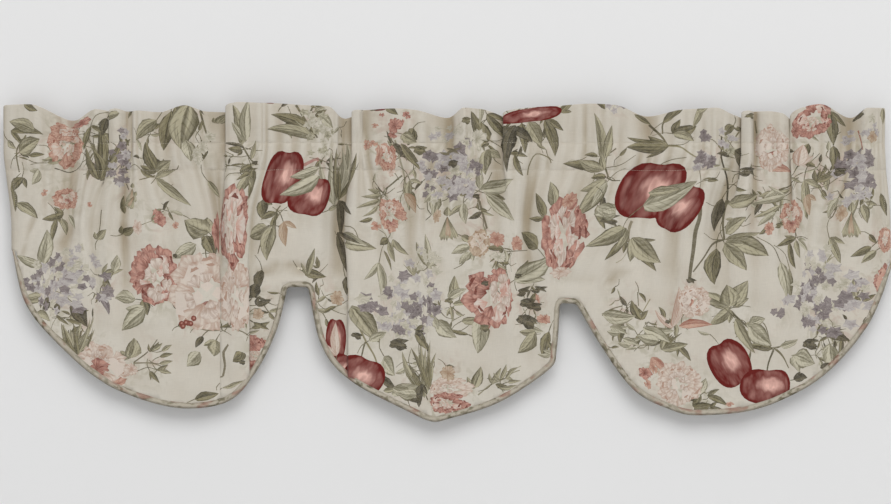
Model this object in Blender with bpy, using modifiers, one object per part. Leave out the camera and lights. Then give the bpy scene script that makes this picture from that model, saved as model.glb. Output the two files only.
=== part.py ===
"""A scalloped window valance, gathered on its rod casing.

One length of printed cotton is turned over at the top and stitched twice, which leaves a
standing ruffle and, under it, a casing for the rod. Below the casing the cloth hangs in soft
folds down to three rounded lobes, whose cut edge is held in a narrow binding.

The front faces -Y and +Z is up. The origin is in the middle of the top edge, on the plane
where the two layers of the heading are sewn together. Lengths are in metres.
"""

import bpy
import numpy as np

MM = 0.001

# Driving dimensions
CLOTH_THICK = 1.2 * MM          # printed cotton, as thick as a hanging sheet is modelled
SEWN_GAP = 0.4 * MM             # air left between two layers that are stitched together
TURN_GAP = 1.8 * MM             # air inside the soft turn along the top of the ruffle
RUFFLE_HEIGHT = 49 * MM         # level top edge down to the upper row of stitching
CASING_HEIGHT = 39 * MM         # between the two rows of stitching
FLAP_END = 5 * MM               # the back layer ends this far under the lower stitching
FOLD_LEVEL = 174 * MM           # depth under the top edge at which the folds are widest
LOBE_LEVEL = 262 * MM           # depth at which the fold lines have come over their lobes
CASING_FRONT_BULGE = 6 * MM     # how far the front of the casing stands off the stitching
CASING_BACK_BULGE = 19 * MM     # how far its back stands off, round the rod
SEAM_SQUEEZE = 0.62             # share of a fold's depth that the stitching leaves
SQUEEZE_REACH = 34 * MM         # height over which the folds open out from the stitching
BINDING_WIDTH = 10 * MM
BINDING_END_WIDTH = 4 * MM      # it is turned in under the side hems
BINDING_END_RUN = 45 * MM
BINDING_THICK = 3.4 * MM
BINDING_CLEARANCE = 0.5 * MM    # between the binding and the cloth that it holds

# How finely the cloth is divided
HEM_STEP = 36 * MM              # columns stand no further apart than this along the hem
COLUMNS_PER_FOLD_SIDE = 2       # nor are there fewer than this between a crest and a dip
BODY_SHARES = (1.0, 0.965, 0.9, 0.81, 0.71, 0.61, 0.51, 0.41, 0.31, 0.21, 0.12, 0.05)
CASING_FRONT_SHARES = (0.0, 0.28, 0.72)
RUFFLE_SHARES = (0.0, 0.33, 0.68)
CASING_BACK_SHARES = (0.0, 0.14, 0.36, 0.64, 0.86)
BINDING_RING = 8                # points round the binding's section
OUTLINE_STEP = 2 * MM
CORNER_SOFTNESS = 5 * MM        # the notch corners are rounded over about this length

# A row for each crest and dip of the cloth, from the left side to the right, in millimetres.
# x: where the fold line lies in the ruffle, at the fold level and on the hem's outline.
# out: how far it stands to the front there. lift: its top edge over the level line.
FOLD_COLUMNS = ("x_ruffle", "x_level", "x_hem", "out_ruffle", "out_level", "out_hem", "lift")
FOLDS = {
    "side_left": (-638, -627, -626, 3, 2, 2, 4),
    "crest_1": (-606, -595, -589, 11, 8, 5, 6),
    "dip_1": (-542, -540, -549, 0, 1, 1, -16),
    "crest_2": (-504, -491, -497, 10, 11, 6, -1),
    "tuck_2": (-483, -466, -466, 2, 2, 2, -6),
    "crest_3": (-471, -435, -428, 12, 8, 6, 0),
    "dip_3": (-431, -388, -385, 3, 5, 4, -6),
    "crest_4": (-371, -349, -349, 11, 7, 6, 5),
    "tuck_4": (-331, -328, -326, 1, 0, 4, -6),
    "crest_5": (-299, -308, -305, 14, 13, 8, 9),
    "tuck_5": (-256, -286, -282, 9, 2, 1, 9),
    "crest_6": (-210, -238, -230, 11, 9, 6, 5),
    "crest_7": (-168, -185, -201, 12, 10, 5, 3),
    "tuck_7": (-147, -155, -147, -2, -4, 1, -16),
    "crest_8": (-131, -138, -132, 12, 11, 7, -2),
    "dip_8": (-118, -99, -92, 4, 5, 3, -3),
    "crest_9": (-89, -76, -66, 11, 9, 6, -1),
    "dip_9": (-6, -52, -43, 0, 3, 3, -13),
    "crest_10": (29, 0, 0, 13, 9, 7, 1),
    "dip_10": (75, 46, 47, 1, 2, 2, -13),
    "crest_11": (96, 82, 82, 13, 9, 5, -1),
    "dip_11": (139, 112, 118, 7, 0, 1, 3),
    "crest_12": (178, 145, 145, 12, 10, 6, 7),
    "dip_12": (224, 178, 163, 9, 6, 4, 4),
    "crest_13": (253, 222, 184, 10, 8, 4, 1),
    "dip_13": (286, 253, 227, 2, 3, 3, -11),
    "crest_14": (328, 299, 276, 12, 9, 6, 0),
    "dip_14": (365, 325, 316, 8, 2, 2, 1),
    "crest_15": (394, 359, 351, 11, 10, 6, -3),
    "tuck_15": (421, 388, 389, -1, 1, 3, -16),
    "crest_16": (434, 417, 420, 12, 8, 5, -3),
    "tuck_16": (446, 444, 444, 5, 2, 3, -4),
    "crest_17": (466, 466, 463, 11, 8, 5, -4),
    "tuck_17": (493, 491, 491, 0, 4, 3, -17),
    "crest_18": (535, 517, 517, 13, 9, 6, 6),
    "dip_18": (578, 543, 542, 1, 2, 2, -11),
    "crest_19": (598, 575, 572, 12, 8, 5, 1),
    "dip_19": (614, 604, 602, 8, 4, 3, 0),
    "side_right": (627, 635, 639, 6, 5, 3, 1),
}

# The finished lower edge, (x, z) in millimetres: smooth curves through these points, with
# the flat tops of the two notches between them.
LEFT_LOBE = ((-626, -203), (-608, -276), (-565, -333), (-496, -392), (-424, -422),
             (-364, -430), (-310, -417), (-274, -375), (-246, -318), (-230, -256))
MIDDLE_LOBE = ((-201, -256), (-182, -339), (-142, -389), (-56, -435), (-23, -449),
               (0, -445), (72, -422), (145, -374), (156, -345), (161, -279))
RIGHT_LOBE = ((184, -280), (220, -341), (267, -404), (322, -433), (362, -440),
              (435, -433), (496, -410), (549, -375), (598, -318), (621, -274), (639, -220))

PRINTED_COTTON = {"name": "printed_cotton", "colour": (0.60, 0.56, 0.49), "roughness": 0.9}
BIAS_BINDING = {"name": "bias_binding", "colour": (0.47, 0.43, 0.36), "roughness": 0.9}


def ease(share):
    """Rise smoothly from 0 to 1 as share does."""
    return 0.5 - 0.5 * np.cos(np.pi * np.clip(share, 0.0, 1.0))


def fold_column(name):
    """One column of the table of folds, in metres."""
    place = FOLD_COLUMNS.index(name)
    return np.array([row[place] for row in FOLDS.values()], dtype=float) * MM


def smooth_curve(points, step):
    """Catmull-Rom curve through the points, as a line of short steps."""
    points = np.array(points, dtype=float)
    padded = np.vstack([2 * points[0] - points[1], points, 2 * points[-1] - points[-2]])
    line = []
    for before, start, end, after in zip(padded, padded[1:], padded[2:], padded[3:]):
        count = max(2, int(np.ceil(np.linalg.norm(end - start) / step)))
        for t in np.arange(count) / count:
            line.append(0.5 * (2 * start + (end - before) * t
                               + (2 * before - 5 * start + 4 * end - after) * t ** 2
                               + (3 * start - before - 3 * end + after) * t ** 3))
    line.append(points[-1])
    return np.array(line)


class LowerEdge:
    """The finished lower edge, measured along its length from the left side."""

    def __init__(self):
        lobes = [smooth_curve(np.array(lobe) * MM, OUTLINE_STEP)
                 for lobe in (LEFT_LOBE, MIDDLE_LOBE, RIGHT_LOBE)]
        line = np.vstack(lobes)
        length = self.lengths(line)
        even = np.arange(0.0, length[-1], OUTLINE_STEP)
        line = np.column_stack([np.interp(even, length, line[:, axis]) for axis in (0, 1)])
        self.line = self.soften(line)
        self.length = self.lengths(self.line)
        along = np.gradient(self.line, axis=0)
        along /= np.linalg.norm(along, axis=1)[:, None]
        self.inward = np.column_stack([-along[:, 1], along[:, 0]])

    @staticmethod
    def lengths(line):
        steps = np.linalg.norm(np.diff(line, axis=0), axis=1)
        return np.concatenate([[0.0], np.cumsum(steps)])

    @staticmethod
    def soften(line):
        """Round the sharp corners of the notches, keeping both ends where they are."""
        reach = int(round(CORNER_SOFTNESS / OUTLINE_STEP))
        padded = np.vstack([np.repeat(line[:1], reach, axis=0), line,
                            np.repeat(line[-1:], reach, axis=0)])
        window = np.ones(2 * reach + 1) / (2 * reach + 1)
        soft = np.column_stack([np.convolve(padded[:, axis], window, "valid")
                                for axis in (0, 1)])
        soft[0], soft[-1] = line[0], line[-1]
        return soft

    def length_at_x(self, x):
        rising = np.maximum.accumulate(self.line[:, 0])
        return np.interp(x, rising + np.arange(len(rising)) * 1e-9, self.length)

    def at(self, length):
        """Points of the finished edge and the directions from there into the cloth."""
        edge, inward = (np.column_stack([np.interp(length, self.length, values[:, axis])
                                         for axis in (0, 1)])
                        for values in (self.line, self.inward))
        return edge, inward / np.linalg.norm(inward, axis=1)[:, None]


class Drape:
    """How the gathered cloth hangs, column by column from the left side to the right."""

    def __init__(self):
        lower_edge = LowerEdge()
        fold_lengths = lower_edge.length_at_x(fold_column("x_hem"))
        self.stations = self.divide(fold_lengths)
        edge_length = np.interp(self.stations, np.arange(len(fold_lengths)), fold_lengths)
        self.edge, self.inward = lower_edge.at(edge_length)
        from_end = np.minimum(edge_length, lower_edge.length[-1] - edge_length)
        self.binding_width = BINDING_END_WIDTH + (
            (BINDING_WIDTH - BINDING_END_WIDTH) * ease(from_end / BINDING_END_RUN))
        self.hem = self.set_in(self.binding_width + BINDING_CLEARANCE)
        self.x_ruffle = self.between(fold_column("x_ruffle"), eased=False)
        self.x_level = self.between(fold_column("x_level"), eased=False)
        self.out_ruffle = self.between(fold_column("out_ruffle"))
        self.out_level = self.between(fold_column("out_level"))
        self.out_hem = self.between(fold_column("out_hem"))
        self.lift = self.between(fold_column("lift"))

    def set_in(self, distance):
        """Points set into the cloth from its finished edge, by a distance at each column."""
        return self.edge + self.inward * distance[:, None]

    @staticmethod
    def divide(fold_lengths):
        """Number the columns by fold: 2.5 stands midway between the third fold and the next."""
        stations = []
        for fold, run in enumerate(np.diff(fold_lengths)):
            count = max(COLUMNS_PER_FOLD_SIDE, int(np.ceil(run / HEM_STEP)))
            stations.extend(fold + np.arange(count) / count)
        stations.append(len(fold_lengths) - 1)
        return np.array(stations)

    def between(self, values, eased=True):
        """A fold's value at each column, easing from crest to dip, or in even steps."""
        fold = np.minimum(self.stations.astype(int), len(values) - 2)
        share = self.stations - fold
        share = ease(share) if eased else share
        return values[fold] + (values[fold + 1] - values[fold]) * share

    def front(self, z):
        """The front layer's row of points at a height, or at one height for each column."""
        z = np.broadcast_to(z, self.stations.shape).astype(float)
        to_level = ease((-RUFFLE_HEIGHT - z) / (FOLD_LEVEL - RUFFLE_HEIGHT))
        to_hem = ease((-FOLD_LEVEL - z) / (-FOLD_LEVEL - self.hem[:, 1]))
        x = self.x_ruffle + (self.x_level - self.x_ruffle) * to_level
        over_lobe = np.minimum(LOBE_LEVEL, -self.hem[:, 1]) - FOLD_LEVEL
        x = x + (self.hem[:, 0] - x) * ease((-FOLD_LEVEL - z) / over_lobe)
        out = self.out_ruffle + (self.out_level - self.out_ruffle) * to_level
        out = out + (self.out_hem - out) * to_hem
        clear_of_seams = np.maximum(z + RUFFLE_HEIGHT, -z - RUFFLE_HEIGHT - CASING_HEIGHT)
        out = out * (SEAM_SQUEEZE + (1 - SEAM_SQUEEZE) * ease(clear_of_seams / SQUEEZE_REACH))
        return np.column_stack([x, -out, z])

    @staticmethod
    def behind(row, air):
        """A row that lies behind another, with that much air between the two layers."""
        steps = np.diff(row, axis=0)
        slope = np.abs(steps[:, 1] / steps[:, 0])
        steepest = np.maximum(np.append(slope, 0.0), np.insert(slope, 0, 0.0))
        moved = row.copy()
        moved[:, 1] += (CLOTH_THICK + air) * np.sqrt(1.0 + steepest ** 2)
        return moved


def body_rows(drape):
    """From the hem up to the lower stitching."""
    lower_seam = -RUFFLE_HEIGHT - CASING_HEIGHT
    return [drape.front(lower_seam + (drape.hem[:, 1] - lower_seam) * share)
            for share in BODY_SHARES]


def casing_front_rows(drape):
    """Up the front of the casing, which swells a little between its seams."""
    rows = []
    for share in CASING_FRONT_SHARES:
        row = drape.front(-RUFFLE_HEIGHT - CASING_HEIGHT * (1.0 - share))
        row[:, 1] -= CASING_FRONT_BULGE * np.sin(np.pi * share)
        rows.append(row)
    return rows


def ruffle_rows(drape):
    """Up the front of the ruffle, over its soft turn and down the back."""
    turn = (CLOTH_THICK + TURN_GAP) / 2
    top = drape.lift - turn
    front, back = [], []
    for share in RUFFLE_SHARES + (1.0,):
        row = drape.front(-RUFFLE_HEIGHT + (top + RUFFLE_HEIGHT) * share)
        front.append(row)
        back.insert(0, drape.behind(row, SEWN_GAP + (TURN_GAP - SEWN_GAP) * share))
    over = (front[-1] + back[0]) / 2
    over[:, 2] += turn
    return front + [over] + back[:-1]


def casing_back_rows(drape):
    """Down the back of the casing, round the rod, to the end of the flap."""
    lower_seam = -RUFFLE_HEIGHT - CASING_HEIGHT
    rows = []
    for share in CASING_BACK_SHARES:
        row = drape.behind(drape.front(-RUFFLE_HEIGHT - CASING_HEIGHT * share), SEWN_GAP)
        swell = np.sin(np.pi * share) ** 0.7
        row[:, 1] += (CASING_BACK_BULGE - row[:, 1]) * swell
        rows.append(row)
    for z in (lower_seam, lower_seam - FLAP_END):
        rows.append(drape.behind(drape.front(z), SEWN_GAP))
    return rows


def panel_rows(drape):
    """The one length of cloth, from the hem in front to the end of the flap behind."""
    return (body_rows(drape) + casing_front_rows(drape) + ruffle_rows(drape)
            + casing_back_rows(drape))


def binding_rings(drape):
    """Flat oval sections that follow the hem, each as wide as the binding is there."""
    middle = drape.set_in(drape.binding_width / 2)
    turns = -np.arange(BINDING_RING) * 2 * np.pi / BINDING_RING
    rings = []
    for point, inward, out, width in zip(middle, drape.inward, drape.out_hem,
                                         drape.binding_width):
        across = np.cos(turns) * width / 2
        deep = np.sin(turns) * BINDING_THICK / 2
        rings.append(np.column_stack([point[0] + inward[0] * across, deep - out,
                                      point[1] + inward[1] * across]))
    return rings


def grid_mesh(name, rows, closed):
    """Faces between rows of as many points each; closed rows are rings, with capped ends."""
    rows = np.array(rows)
    count, width = rows.shape[:2]
    last = width if closed else width - 1
    faces = [(row * width + place, row * width + (place + 1) % width,
              (row + 1) * width + (place + 1) % width, (row + 1) * width + place)
             for row in range(count - 1) for place in range(last)]
    if closed:
        faces.append(tuple(range(width - 1, -1, -1)))
        faces.append(tuple(range((count - 1) * width, count * width)))
    mesh = bpy.data.meshes.new(name)
    mesh.from_pydata(rows.reshape(-1, 3).tolist(), [], faces)
    mesh.shade_smooth()
    return mesh


def finish(settings):
    """A plain cloth material."""
    material = bpy.data.materials.new(settings["name"])
    material.use_nodes = True
    shader = material.node_tree.nodes["Principled BSDF"]
    shader.inputs["Base Color"].default_value = (*settings["colour"], 1.0)
    shader.inputs["Roughness"].default_value = settings["roughness"]
    shader.inputs["Metallic"].default_value = 0.0
    return material


def add_piece(name, mesh, material, collection):
    mesh.materials.append(material)
    piece = bpy.data.objects.new(name, mesh)
    collection.objects.link(piece)
    return piece


def add_panel(drape, collection):
    """The gathered cloth: an open sheet given its thickness."""
    mesh = grid_mesh("valance_panel", panel_rows(drape), closed=False)
    panel = add_piece("valance_panel", mesh, finish(PRINTED_COTTON), collection)
    thicken = panel.modifiers.new("cloth", "SOLIDIFY")
    thicken.thickness = CLOTH_THICK
    thicken.offset = 0.0


def add_binding(drape, collection):
    """The bias strip that holds the scalloped edge."""
    mesh = grid_mesh("scallop_binding", binding_rings(drape), closed=True)
    add_piece("scallop_binding", mesh, finish(BIAS_BINDING), collection)


def main():
    for thing in list(bpy.data.objects):
        bpy.data.objects.remove(thing)
    collection = bpy.data.collections.new("window_valance")
    bpy.context.scene.collection.children.link(collection)
    drape = Drape()
    add_panel(drape, collection)
    add_binding(drape, collection)


main()
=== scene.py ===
"""Dresses the scalloped valance: printed cotton on its folds, its bound edge and its stitching.

The cloth is charted flat and then hung. a runs across the flat cloth from its left side, and v
runs down it from the top of the ruffle; v is less than 0 where the cloth is turned over the top
and goes down behind. Charts and tables are in millimetres, and the meshes in metres.
"""

import math

import bpy
import numpy as np
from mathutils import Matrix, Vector
from mathutils.geometry import delaunay_2d_cdt


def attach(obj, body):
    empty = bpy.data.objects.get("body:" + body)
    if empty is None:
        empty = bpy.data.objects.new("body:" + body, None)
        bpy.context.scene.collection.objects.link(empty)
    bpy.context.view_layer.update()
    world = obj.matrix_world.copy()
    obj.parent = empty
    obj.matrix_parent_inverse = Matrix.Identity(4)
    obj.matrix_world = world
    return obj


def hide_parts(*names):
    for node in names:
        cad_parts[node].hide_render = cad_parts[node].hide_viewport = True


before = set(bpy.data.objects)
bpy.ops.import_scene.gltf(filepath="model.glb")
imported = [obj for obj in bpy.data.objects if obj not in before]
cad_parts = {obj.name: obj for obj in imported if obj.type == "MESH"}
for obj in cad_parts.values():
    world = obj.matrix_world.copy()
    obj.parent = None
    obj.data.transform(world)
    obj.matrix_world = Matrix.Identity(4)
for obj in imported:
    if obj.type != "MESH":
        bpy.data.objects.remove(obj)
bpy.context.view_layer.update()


def table(text):
    """The rows of a table written as words, with a semicolon between each row and the next."""
    def value(word):
        if word.lstrip("-")[:1].isdigit():
            return float(word) if "." in word else int(word)
        return word
    return [tuple(value(word) for word in row.split()) for row in text.split(";")]


MM = 0.001

# The cut and the sewing, in millimetres
RUFFLE = 49.0                   # level top edge down to the upper row of stitching
CASING = 39.0                   # between the two rows of stitching
LOWER_SEAM = RUFFLE + CASING
CASING_BACK = 52.0              # the length of cloth that goes round behind the rod
FLAP = 5.0                      # the turned-over layer ends this far under the lower stitching
TURN_RADIUS = 1.5               # of the soft turn along the top of the ruffle
TURN = math.pi * TURN_RADIUS
LAYER_GAP = 1.6                 # between the middles of two layers that are sewn together
FLAP_EDGE = -(TURN + RUFFLE + CASING_BACK + FLAP)
FOLD_LEVEL = 174.0              # where the folds are widest
LOBE_LEVEL = 262.0              # where the fold lines have come over their lobes
LOWEST = 455.0                  # just under the deepest lobe
CASING_FRONT_BULGE = 2.2
CASING_BACK_BULGE = 19.0
SEAM_SQUEEZE = 0.62             # share of a fold's depth that the stitching leaves
SQUEEZE_REACH = 34.0
SEAM_DIP = 0.5                  # how far the stitching pulls the cloth in, and how narrowly
SEAM_DIP_REACH = 1.5
WAVES_REACH = 60.0              # the slow waves grow up to this far under the stitching
SIDE_HEM = 10.0
CLOTH_THICK = 0.8
BINDING_WIDTH = 8.6
BINDING_END_WIDTH = 4.0
BINDING_END_RUN = 45.0
BINDING_THICK = 3.0
BINDING_STEP = 2.4
BINDING_SIDES = 14
BINDING_ROUND = 26.0            # the width of the flat strip that is rolled into the binding
CLOTH_IN_BINDING = 5.5          # the cloth's cut edge lies this far inside the finished edge
CORNER_SOFTNESS = 5.0
STITCH_STEP = 3.0
STITCH_HALF = 1.15
STITCH_RADIUS = 0.24
STITCH_RISE = 0.05              # its middle stands this far out of the cloth
STITCH_SINK = 0.25              # its ends go this far in from there

# How finely the cloth is divided, in millimetres of flat cloth
BODY_STEP = (6.8, 11.0)         # across and down
HEADING_STEP = (3.5, 6.4)
BACK_STEP = (7.5, 10.0)
CASING_BACK_STEP = 5.5
EDGE_STEP = 4.0
INK_STEP = 6.0                  # longest straight piece along the edge of a printed shape
GRID_END = 450.0                # rows of grid points go down to here
HEM_CLEARANCE = 2.5             # grid points keep this far from the cut edge
HEM_TOP = 150.0                 # and only those below this can lie near it
HEM_BATCH = 4000                # how many of them are looked at together
WELD = 0.35                     # corners closer than this become one
SLIVER = 1e-3                   # a triangle with less than twice this area is left out

# Where the folds are looked for on either side of a place, for the painted shade that darkens and
# warms their dips
FOLD_REACH = (-44, -33, -22, -11, 11, 22, 33, 44)
CREASE_REACH = (-7, -5, 5, 7)
LEVEL_REACH = 14                # above and below

# The squares in which printed shapes are counted, for the pale washes round them
WASH_CELL = 10.0
WASH_FIRST = (-30.0, -140.0)
WASH_LAST = (1700, 480)
WASH_FULL = 4.0                 # shapes that fill a square

# The square that colours are baked into, as shares of its side: the front in two halves,
# one above the other, and the wrong side in a narrow strip beside them
BAKE_FRONT = 0.94
BAKE_FRONT_AT = (0.015, 0.02)
BAKE_RIGHT_HALF_UP = 0.49
BAKE_BACK = 0.96
BAKE_BACK_AT = (0.99, 0.02)
BAKE_BACK_SQUEEZE = 0.95

# The crests, dips and lapped pleats from the left side to the right: name, then x in the
# ruffle, at the fold level and at the hem, then how far it stands to the front at each, and its
# top edge over the level line.
FOLDS = table("""
    side_left -638 -627 -626 4 2 2 5; crest_1 -601 -592 -589 12 8 5 6;
    dip_1 -539 -546 -563 -1 0 2 -17; crest_2 -504 -523 -514 10 8 5 -1;
    inner_2 -481 -512 -503 1 3 3 -5; edge_2 -486 -503 -493 8 6 5 -2;
    crest_3 -476 -491 -483 12 9 6 0; dip_3 -460 -467 -464 3 1 3 -4;
    crest_4 -443 -428 -421 9 8 6 -3; dip_4 -414 -388 -385 5 5 4 -5;
    crest_4b -378 -356 -352 11 8 6 4.5; tuck_4 -346 -331 -326 0 -1 3 -4;
    inner_5 -313 -326 -327 -1 1 3.8 -5; edge_5 -319 -322 -317 8 8 5.2 4;
    crest_5 -299 -310 -305 14 13 8 9; edge_h -267 -289 -285 11 6 7 8;
    inner_h -264 -285 -290 11 4 0 8; tuck_5 -259 -282 -282 10 2 1 8;
    crest_6 -210 -234 -234 11 9 6 5; crest_7 -172 -187 -200 12 10 5 3;
    tuck_7 -147 -157 -148 -2 -4 1 -14; inner_8 -137 -151 -138 -1 -3 1 -10;
    edge_8 -138 -147 -144 7 4 6 -4; crest_8 -129 -135 -129 12 10 7 -2; dip_8 -119 -99 -92 3 6 4 -2;
    crest_9 -76 -76 -66 12 9 6 0; dip_9 -47 -50 -43 8 3 3 -2; header_dip -1 -23 -20 -1 6 5 -13;
    crest_10 22 6 3 12 8 7 1; dip_10 49 55 52 8 3 2 -1; inner_11 82 83 79 -1 5 4 -12;
    edge_11 79 88 85 7 7 5 -6; crest_11 98 95 92 13 8 5 -1; dip_11 125 112 116 8 1 2 2;
    crest_12 161 139 145 11 10 6 4; dip_12 204 178 162 9 6 4 7; crest_13 240 218 185 11 8 4 5;
    dip_13 287 253 227 1 3 3 -11; crest_14 333 293 276 10 9 6 -2; dip_14 362 323 316 9 3 2 0;
    crest_15 385 361 351 12 11 6 1; dip_15 408 385 385 5 1 3 -8; inner_16 427 402 402 -2 4 4 -15;
    edge_16 421 410 411 7 7 5 -5; crest_16 431 420 422 11 9 5 -3; tuck_16 441 444 444 2 3 3 -4;
    crest_17 460 466 463 11 8 5 -4; dip_17 480 481 481 8 5 4 -7; inner_18 496 491 491 -2 4 3 -19;
    edge_18 491 497 499 5 6 4 -10; crest_18 532 517 517 15 9 6 6; dip_18 579 560 552 0 2 2 -13;
    crest_19 601 589 581 11 8 5 1; dip_19 615 612 609 8 4 3 1; side_right 627 635 639 6 5 3 1
""")

# The finished lower edge, (x, z): smooth curves through these, and the notches' flat tops.
LOBES = (
    ((-626, -203), (-608, -276), (-565, -333), (-496, -392), (-424, -422),
     (-364, -430), (-310, -417), (-274, -375), (-246, -318), (-230, -256)),
    ((-201, -256), (-182, -339), (-142, -389), (-56, -435), (-23, -449),
     (0, -445), (72, -422), (145, -374), (156, -345), (161, -279)),
    ((184, -280), (220, -341), (267, -404), (322, -433), (362, -440),
     (435, -433), (496, -410), (549, -375), (598, -318), (621, -274), (639, -220)),
)

# Soft creases: x0, z0, x1, z1, width, height (less than 0 is a trough)
CREASES = table("""
    -592 -149 -604 -185 5 -2; -604 -185 -612 -220 5 -1.6; -512 -114 -535 -160 10.1 -3;
    -535 -160 -558 -205 10.1 -2.5; -471 -91 -466 -152 5.7 -2.5; -466 -152 -461 -260 5.7 -2;
    -341 -85 -329 -167 8.6 -3; -329 -167 -322 -228 8.6 -2.4; -155 -59 -158 -239 11.5 -4.3;
    -124 -4 -119 -47 3.6 -2.5; -99 -45 -99 -131 2.9 -1.4; 481 -45 481 -131 2.9 -1.4;
    -52 -102 -55 -239 10.1 -1.5; 1 -9 1 -62 7.2 -2.5; 114 -80 111 -195 11.5 -2;
    43 -116 56 -177 4.3 -1.5; 99 -16 96 -91 4.3 -2; 141 -19 144 -102 4.3 -1.5;
    236 -167 230 -274 12.9 -2; 290 -188 287 -282 12.9 -2; 253 -4 250 -102 5.7 -1.2;
    332 -174 322 -318 5.7 -2.2; 440 -4 444 -91 4.3 -3; 444 -91 431 -188 5.7 -1.8;
    -276 -240 -238 -222 10 -2.8; -238 -222 -192 -234 10 -2.8; -270 -248 -196 -246 8.6 1.6;
    132 -257 218 -262 8.6 1; 228 -250 262 -226 10 -2.2; -529 -313 -388 -310 1.9 -0.7;
    348 -364 491 -369 1.9 -0.7; 402 -181 401 -274 7.2 -2; 530 -116 532 -203 8.6 -2;
    573 -4 575 -73 7.2 -2.5; 493 -9 494 -88 4.3 -2.5; 425 -13 422 -73 8.6 -3;
    -75 -91 -72 -188 7.2 1.5; -414 -167 -417 -274 11.5 1.5; 369 -13 362 -102 5.7 -1.2
""")

# Slow unevenness of the hanging cloth: length, direction, height, phase
WAVES = ((97, 0.2, 0.45, 0.4), (61, 1.2, 0.35, 2.1), (143, -0.5, 0.6, 1.0), (38, 0.05, 0.22, 3.3))

# Inks: deep and pale
INKS = {
    "rose": ("#70342A", "#BC8D7E"),
    "heart": ("#A58C7C", "#D0C3B8"),
    "coral": ("#8E5847", "#C39E8B"),
    "pale_rose": ("#A98876", "#CFC2B5"),
    "peach": ("#917459", "#B9A690"),
    "fruit": ("#641610", "#E2B5A8"),
    "lilac": ("#574C4D", "#938988"),
    "lilac_pale": ("#908788", "#BFB9B4"),
    "cream_floret": ("#999480", "#CBC4B5"),
    "sage": ("#58523A", "#B0A98E"),
    "olive": ("#3E3824", "#8A8263"),
    "dark": ("#2F2A1D", "#675F49"),
    "grey_green": ("#68634B", "#C1BBA5"),
    "stalk": ("#5B543F", "#857C66"),
}
GREENS = ("sage", "olive", "dark", "grey_green", "stalk")
INK_SHARES = (0.45, 0.33, 0.22)

GROUND_COLOUR = "#CBC6BB"
GROUND_SHADE = "#C5BDAF"
# painted shade: the warm darker colour mixed into the ground down in the folds
FOLD_SHADE_COLOUR = "#B09E7F"
WASH_GREEN = "#A19A83"
WASH_ROSE = "#B7A294"
WRONG_SIDE_COLOUR = "#CFC7B4"
BINDING_GROUND = "#B5AD9D"
BINDING_GREEN = "#746D58"
BINDING_ROSE = "#97685A"
WALL_COLOUR = "#E6E6E6"

# The room, in metres: the wall's and the floor's places and half widths, camera and light
WALL_Y = 0.024
WALL_TOP = 3.1
WALL_HALF = 3.5
FLOOR_Z = -1.3
FLOOR_HALF = 6.0
CAMERA = (-0.0036, -3.5567, -0.2055)
WORLD_LIGHT = 0.54
SOFTBOX = (0.7, -5.6, 4.4)
SOFTBOX_AIM = (0, 0, -0.2)
SOFTBOX_SIZE = (5.0, 4.0)
SOFTBOX_POWER = 265

# ---- The print: where each motif shows on the hanging cloth, in mm from the frame's middle ----

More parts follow.
